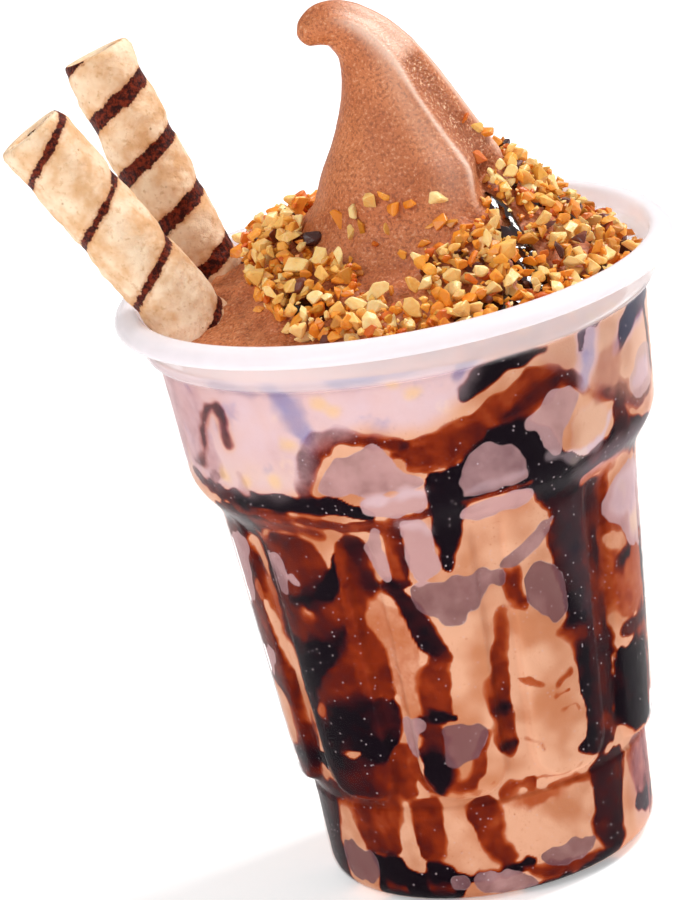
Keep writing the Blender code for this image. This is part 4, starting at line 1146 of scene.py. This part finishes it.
names = [kind[0] for kind in NUT_KINDS]
shares = np.array([kind[1] for kind in NUT_KINDS])
sizes = {kind[0]: kind[4] for kind in NUT_KINDS}
BIT_TRIES, CRUMB_TRIES = 15000, 9000
for _ in range(BIT_TRIES):
    side, depth = nut_draw.uniform(-42.0, 42.0, 2)
    if np.hypot(side, depth) > 41.2 or nut_draw.uniform() > heap_share(side, depth) * 0.45:
        continue
    kind = names[nut_draw.choice(len(names), p=shares / shares.sum())]
    drop_bit(side, depth, kind, nut_draw.uniform(*sizes[kind]) * nut_draw.choice([0.75, 1.0, 1.15]))
for _ in range(CRUMB_TRIES):
    side, depth = nut_draw.uniform(-42.0, 42.0, 2)
    if np.hypot(side, depth) < 41.4 and nut_draw.uniform() < 0.62 * heap_share(side, depth):
        kind = names[nut_draw.integers(4)]
        drop_bit(side, depth, kind, nut_draw.uniform(0.7, SMALLEST_BIT), 0.1)


def press_in(turn, height, kind, size):
    """Press one bit flush into the peak's side, at an angle round the peak and a height."""
    heading = Vector((cos(radians(turn)), sin(radians(turn)), 0.0))
    start = Vector((PEAK_OFFSET, 0.0, height)) + heading * 45.0
    landed, normal, _, _ = serve_tree.ray_cast(start, -heading)
    if landed is not None:
        lay_bit(kind, landed + normal * size * 0.02, random_turn(), size * 1.45)


for turn, height, kind, size in (
        (-128, 118.0, "nuts_pale", 2.6), (-118, 119.6, "nuts_pale", 3.0),
        (-108, 120.4, "nuts_golden", 1.8), (-101, 117.6, "nuts_golden", 3.2),
        (-107, 115.2, "nuts_pale", 2.8), (-141, 116.6, "nuts_golden", 2.8),
        (-132, 114.6, "nuts_pale", 2.2), (-125, 115.6, "nuts_olive", 2.2),
        (-92, 118.4, "nuts_golden", 2.2), (-75, 118.4, "nuts_pale", 3.0),
        (-84, 114.8, "nuts_golden", 2.4), (-77, 114.8, "nuts_golden", 2.3),
        (-71, 114.2, "nuts_olive", 2.2), (-116, 112.8, "nuts_roasted", 1.6),
        (-89, 112.2, "nuts_golden", 2.0), (-80, 111.4, "nuts_roasted", 2.6),
        (-100, 111.0, "nuts_golden", 1.8), (-64, 113.2, "nuts_golden", 2.2),
        (-104, 106.8, "nuts_golden", 2.0), (-70, 108.2, "nuts_skinned", 4.2),
        (-160, 113.4, "nuts_skinned", 3.4), (-20, 127.4, "nuts_roasted", 2.6),
        (-14, 126.0, "nuts_pale", 2.2), (-8, 124.6, "nuts_golden", 2.4),
        (-24, 121.4, "nuts_roasted", 2.6), (-2, 122.4, "nuts_golden", 2.2),
        (10, 121.0, "nuts_pale", 2.4)):
    press_in(turn, height, kind, size)


for kind, _, inside, outside, _ in NUT_KINDS:
    kind_points, kind_faces, kind_tones = heap[kind]
    nut_mesh = bpy.data.meshes.new(kind)
    nut_mesh.from_pydata((np.vstack(kind_points) * MM).tolist(), [], np.vstack(kind_faces).tolist())
    nut_tone = nut_mesh.attributes.new("tone", "FLOAT", "POINT")
    nut_tone.data.foreach_set("value", np.concatenate(kind_tones).astype(np.float32))
    nuts = put_in_scene(kind, nut_mesh)
    nut_finish, nut = new_finish(kind)
    browned = (nut.field("tone") * 0.6 + nut.grain(1.4, 3.0) * 0.6).between(0.3, 0.8)
    flesh = nut.blend(browned, colour(*inside), colour(*outside))
    scorched = colour(*[channel * 0.72 for channel in outside])
    flesh = nut.blend(nut.grain(0.5, 3.0, 0.6).between(0.6, 0.75) * 0.35, flesh, scorched)
    nut.node("BsdfPrincipled", {}, {
        "Base Color": flesh, "Roughness": 0.22 + 0.3 * nut.grain(0.8),
        "Normal": nut.bump(nut.grain(0.6, 3.0), 0.12), "Subsurface Weight": 0.25,
        "Subsurface Radius": (1.0, 0.6, 0.3), "Subsurface Scale": 0.0012}).show()
    place_piece(nuts, nut_finish, "roasted_nuts", "chopped_nuts")


# ---------------------------------------------------------------------------------------------
# Two rolled wafers stuck into the ice cream at the left: thin batter rolled hot into a tube with
# a band of cocoa batter that winds round it. The front one's band is narrow, the back one's wide.
# ---------------------------------------------------------------------------------------------
WAFER_RADIUS, WAFER_BORE, WAFER_LENGTH = 6.2, 3.6, 72.0
SHEET_PITCH, NO_BAND = 0.95, 9.0
# Each wafer's name, top, point at the rim's height, band pitch, place and half width in mm, and
# the seed of its unevenness.
WAFERS = (
    ("wafer_front", (-54.7, -3.2, 139.1), (-35.0, -5.9, 104.3), 13.4, 3.9, 0.68, 11.0),
    ("wafer_back", (-42.9, 22.6, 144.4), (-31.2, 17.6, 105.4), 10.7, 8.8, 1.4, 37.0),
)
wafer_turn = np.linspace(0.0, 2.0 * pi, 141)[:-1]
wafer_rows = np.concatenate([
    np.linspace(0.0, 2.4, 18), np.linspace(2.6, WAFER_LENGTH - 1.2, 250),
    np.linspace(WAFER_LENGTH - 1.0, WAFER_LENGTH, 6)])
turns, lengths = np.meshgrid(wafer_turn, wafer_rows)
for wafer_name, wafer_top, wafer_at_rim, pitch, place, half, seed in WAFERS:
    wafer_top, wafer_at_rim = np.array(wafer_top), np.array(wafer_at_rim)
    along = (wafer_at_rim - wafer_top) / np.linalg.norm(wafer_at_rim - wafer_top)
    front = np.array([0.0, -0.95, 0.3])
    front = front - along * front.dot(along)
    front /= np.linalg.norm(front)
    across = np.cross(along, front)
    spoke = front * np.cos(wafer_turn)[:, None] + across * np.sin(wafer_turn)[:, None]
    wound = lengths - place - pitch * turns / (2.0 * pi)
    edge = np.abs((wound + pitch / 2.0) % pitch - pitch / 2.0)
    centre = wafer_top + along * lengths[..., None]
    body = centre + spoke * WAFER_RADIUS
    uneven = 0.30 * lumps(body, 5.5, 3, seed) + 0.10 * lumps(body, 1.5, 3, seed + 3.0)
    pinch = 0.42 * np.exp(-(edge / (half + 0.9)) ** 2)
    mouth = 1.6 * (1.0 - np.sqrt(1.0 - (1.0 - np.clip(lengths / 1.7, 0.0, 1.0)) ** 2 * 0.96))
    reach = WAFER_RADIUS + 0.05 + uneven - pinch - mouth * 0.55
    outside = centre + spoke * reach[..., None]
    # The end of the roll, where the spiral of the thin sheet shows as a groove, and the bore.
    inner_rows = [wafer_top + along * length + spoke * WAFER_BORE
                  for length in np.linspace(WAFER_LENGTH, 0.6, 24)]
    for radius in np.linspace(WAFER_BORE, WAFER_RADIUS - 1.1, 16):
        spiral = ((radius - WAFER_BORE) / SHEET_PITCH - wafer_turn / (2.0 * pi)) % 1.0
        sink = 0.55 * np.exp(-((spiral - 0.5) / 0.13) ** 2) + 0.1
        inner_rows.append(wafer_top + along * sink[:, None] + spoke * radius)
    grid = np.concatenate([np.array(inner_rows), outside], axis=0)
    from_band = np.vstack([np.full((len(inner_rows), len(wafer_turn)), NO_BAND), edge - half])
    wafer = skin(wafer_name + "_rolled", grid[:, ::-1], fields={"band": from_band[:, ::-1]})
    baked_wafer, crust = new_finish(wafer_name + "_crust")
    crumb = crust.grain(0.7, 4.0, 0.7)
    ragged = crust.field("band") + (crumb - 0.5) * 1.2 + (crust.grain(2.4, 2.0) - 0.5) * 1.3
    band = ragged.between(0.12, -0.12)
    toasted = crust.grain(5.0, 3.0, 0.6).between(0.32, 0.68)
    pale = crust.blend(toasted, colour(252, 224, 192), colour(226, 177, 130))
    pale = crust.blend(crust.grain(1.1, 4.0, 0.6).between(0.54, 0.70) * 0.5, pale, colour(200, 150, 98))
    spot = crust.cells(520.0).between(0.16, 0.07) * crust.cells(520.0, 1).between(0.74, 0.8)
    pale = crust.blend(spot * 0.65, pale, colour(150, 100, 50))
    pale = crust.blend(ragged.between(0.8, 0.0) * 0.5, pale, colour(196, 122, 68))
    thin_cocoa = crust.grain(0.8, 4.0, 0.7).between(0.4, 0.66)
    cocoa = crust.blend(thin_cocoa, colour(48, 10, 6), colour(126, 44, 20))
    crust_relief = crust.bump(crumb + crust.grain(0.3, 2.0) * 0.4, 0.22, 0.8)
    crust.node("BsdfPrincipled", {}, {
        "Base Color": crust.blend(band, pale, cocoa), "Roughness": 0.62 - 0.1 * band,
        "Normal": crust_relief, "Specular IOR Level": 0.12, "Subsurface Weight": 0.12,
        "Subsurface Radius": (1.0, 0.7, 0.4), "Subsurface Scale": 0.0015}).show()
    place_piece(wafer, baked_wafer, "baked_wafer", wafer_name)


# ---------------------------------------------------------------------------------------------
# The stage: a plain white floor, white surroundings, a soft lamp at the front left and one above,
# and the camera, which is turned about its own axis so that the upright cup leans in its view.
# ---------------------------------------------------------------------------------------------
FLOOR_SIZE, FLOOR_LEVEL = 6.0, -0.0002
bpy.ops.mesh.primitive_plane_add(size=FLOOR_SIZE, location=(0.0, 0.0, FLOOR_LEVEL))
floor = bpy.context.object
floor.name = "floor"
floor_finish, ground = new_finish("white_floor")
ground.node("BsdfPrincipled", {}, {
    "Base Color": (0.93, 0.93, 0.93, 1.0), "Roughness": 0.9, "Specular IOR Level": 0.1,
    "Emission Color": (1.0, 1.0, 1.0, 1.0), "Emission Strength": 0.34}).show()
floor.data.materials.append(floor_finish)

world = bpy.data.worlds.new("studio")
bpy.context.scene.world = world
world.use_nodes = True
backdrop = world.node_tree.nodes["Background"]
backdrop.inputs["Color"].default_value = (1.0, 1.0, 1.0, 1.0)
backdrop.inputs["Strength"].default_value = 0.45

MIDDLE = Vector((0.0, 0.0, 0.08))
# Each light's name, place, width and power.
for light_name, light_place, width, power in (
        ("key", (-0.55, -0.75, 0.75), 0.5, 5.2),
        ("top", (0.58, 0.28, 0.86), 0.35, 9.8)):
    lamp = bpy.data.lights.new(light_name, "AREA")
    lamp.size = width
    lamp.energy = power
    light = put_in_scene(light_name, lamp)
    light.location = light_place
    light.rotation_euler = (MIDDLE - Vector(light_place)).to_track_quat("-Z", "Y").to_euler()

CAMERA_TARGET = Vector((-0.01447, 0.0, 0.07454))
CAMERA_DISTANCE = 0.8
CAMERA_RISE = radians(17.45)
CAMERA_ROLL = radians(10.47)
camera_data = bpy.data.cameras.new("camera")
camera_data.sensor_fit = "HORIZONTAL"
camera_data.sensor_width = 36.0
camera_data.lens = 252.1
camera = put_in_scene("camera", camera_data)
look = Vector((0.0, cos(CAMERA_RISE), -sin(CAMERA_RISE)))
level, upright = Vector((1.0, 0.0, 0.0)), Vector((0.0, sin(CAMERA_RISE), cos(CAMERA_RISE)))
view_right = level * cos(CAMERA_ROLL) - upright * sin(CAMERA_ROLL)
view_up = level * sin(CAMERA_ROLL) + upright * cos(CAMERA_ROLL)
turned = Matrix((view_right, view_up, -look)).transposed().to_4x4()
camera.matrix_world = Matrix.Translation(CAMERA_TARGET - look * CAMERA_DISTANCE) @ turned
bpy.context.scene.camera = camera
bpy.context.scene.view_settings.view_transform = "Standard"
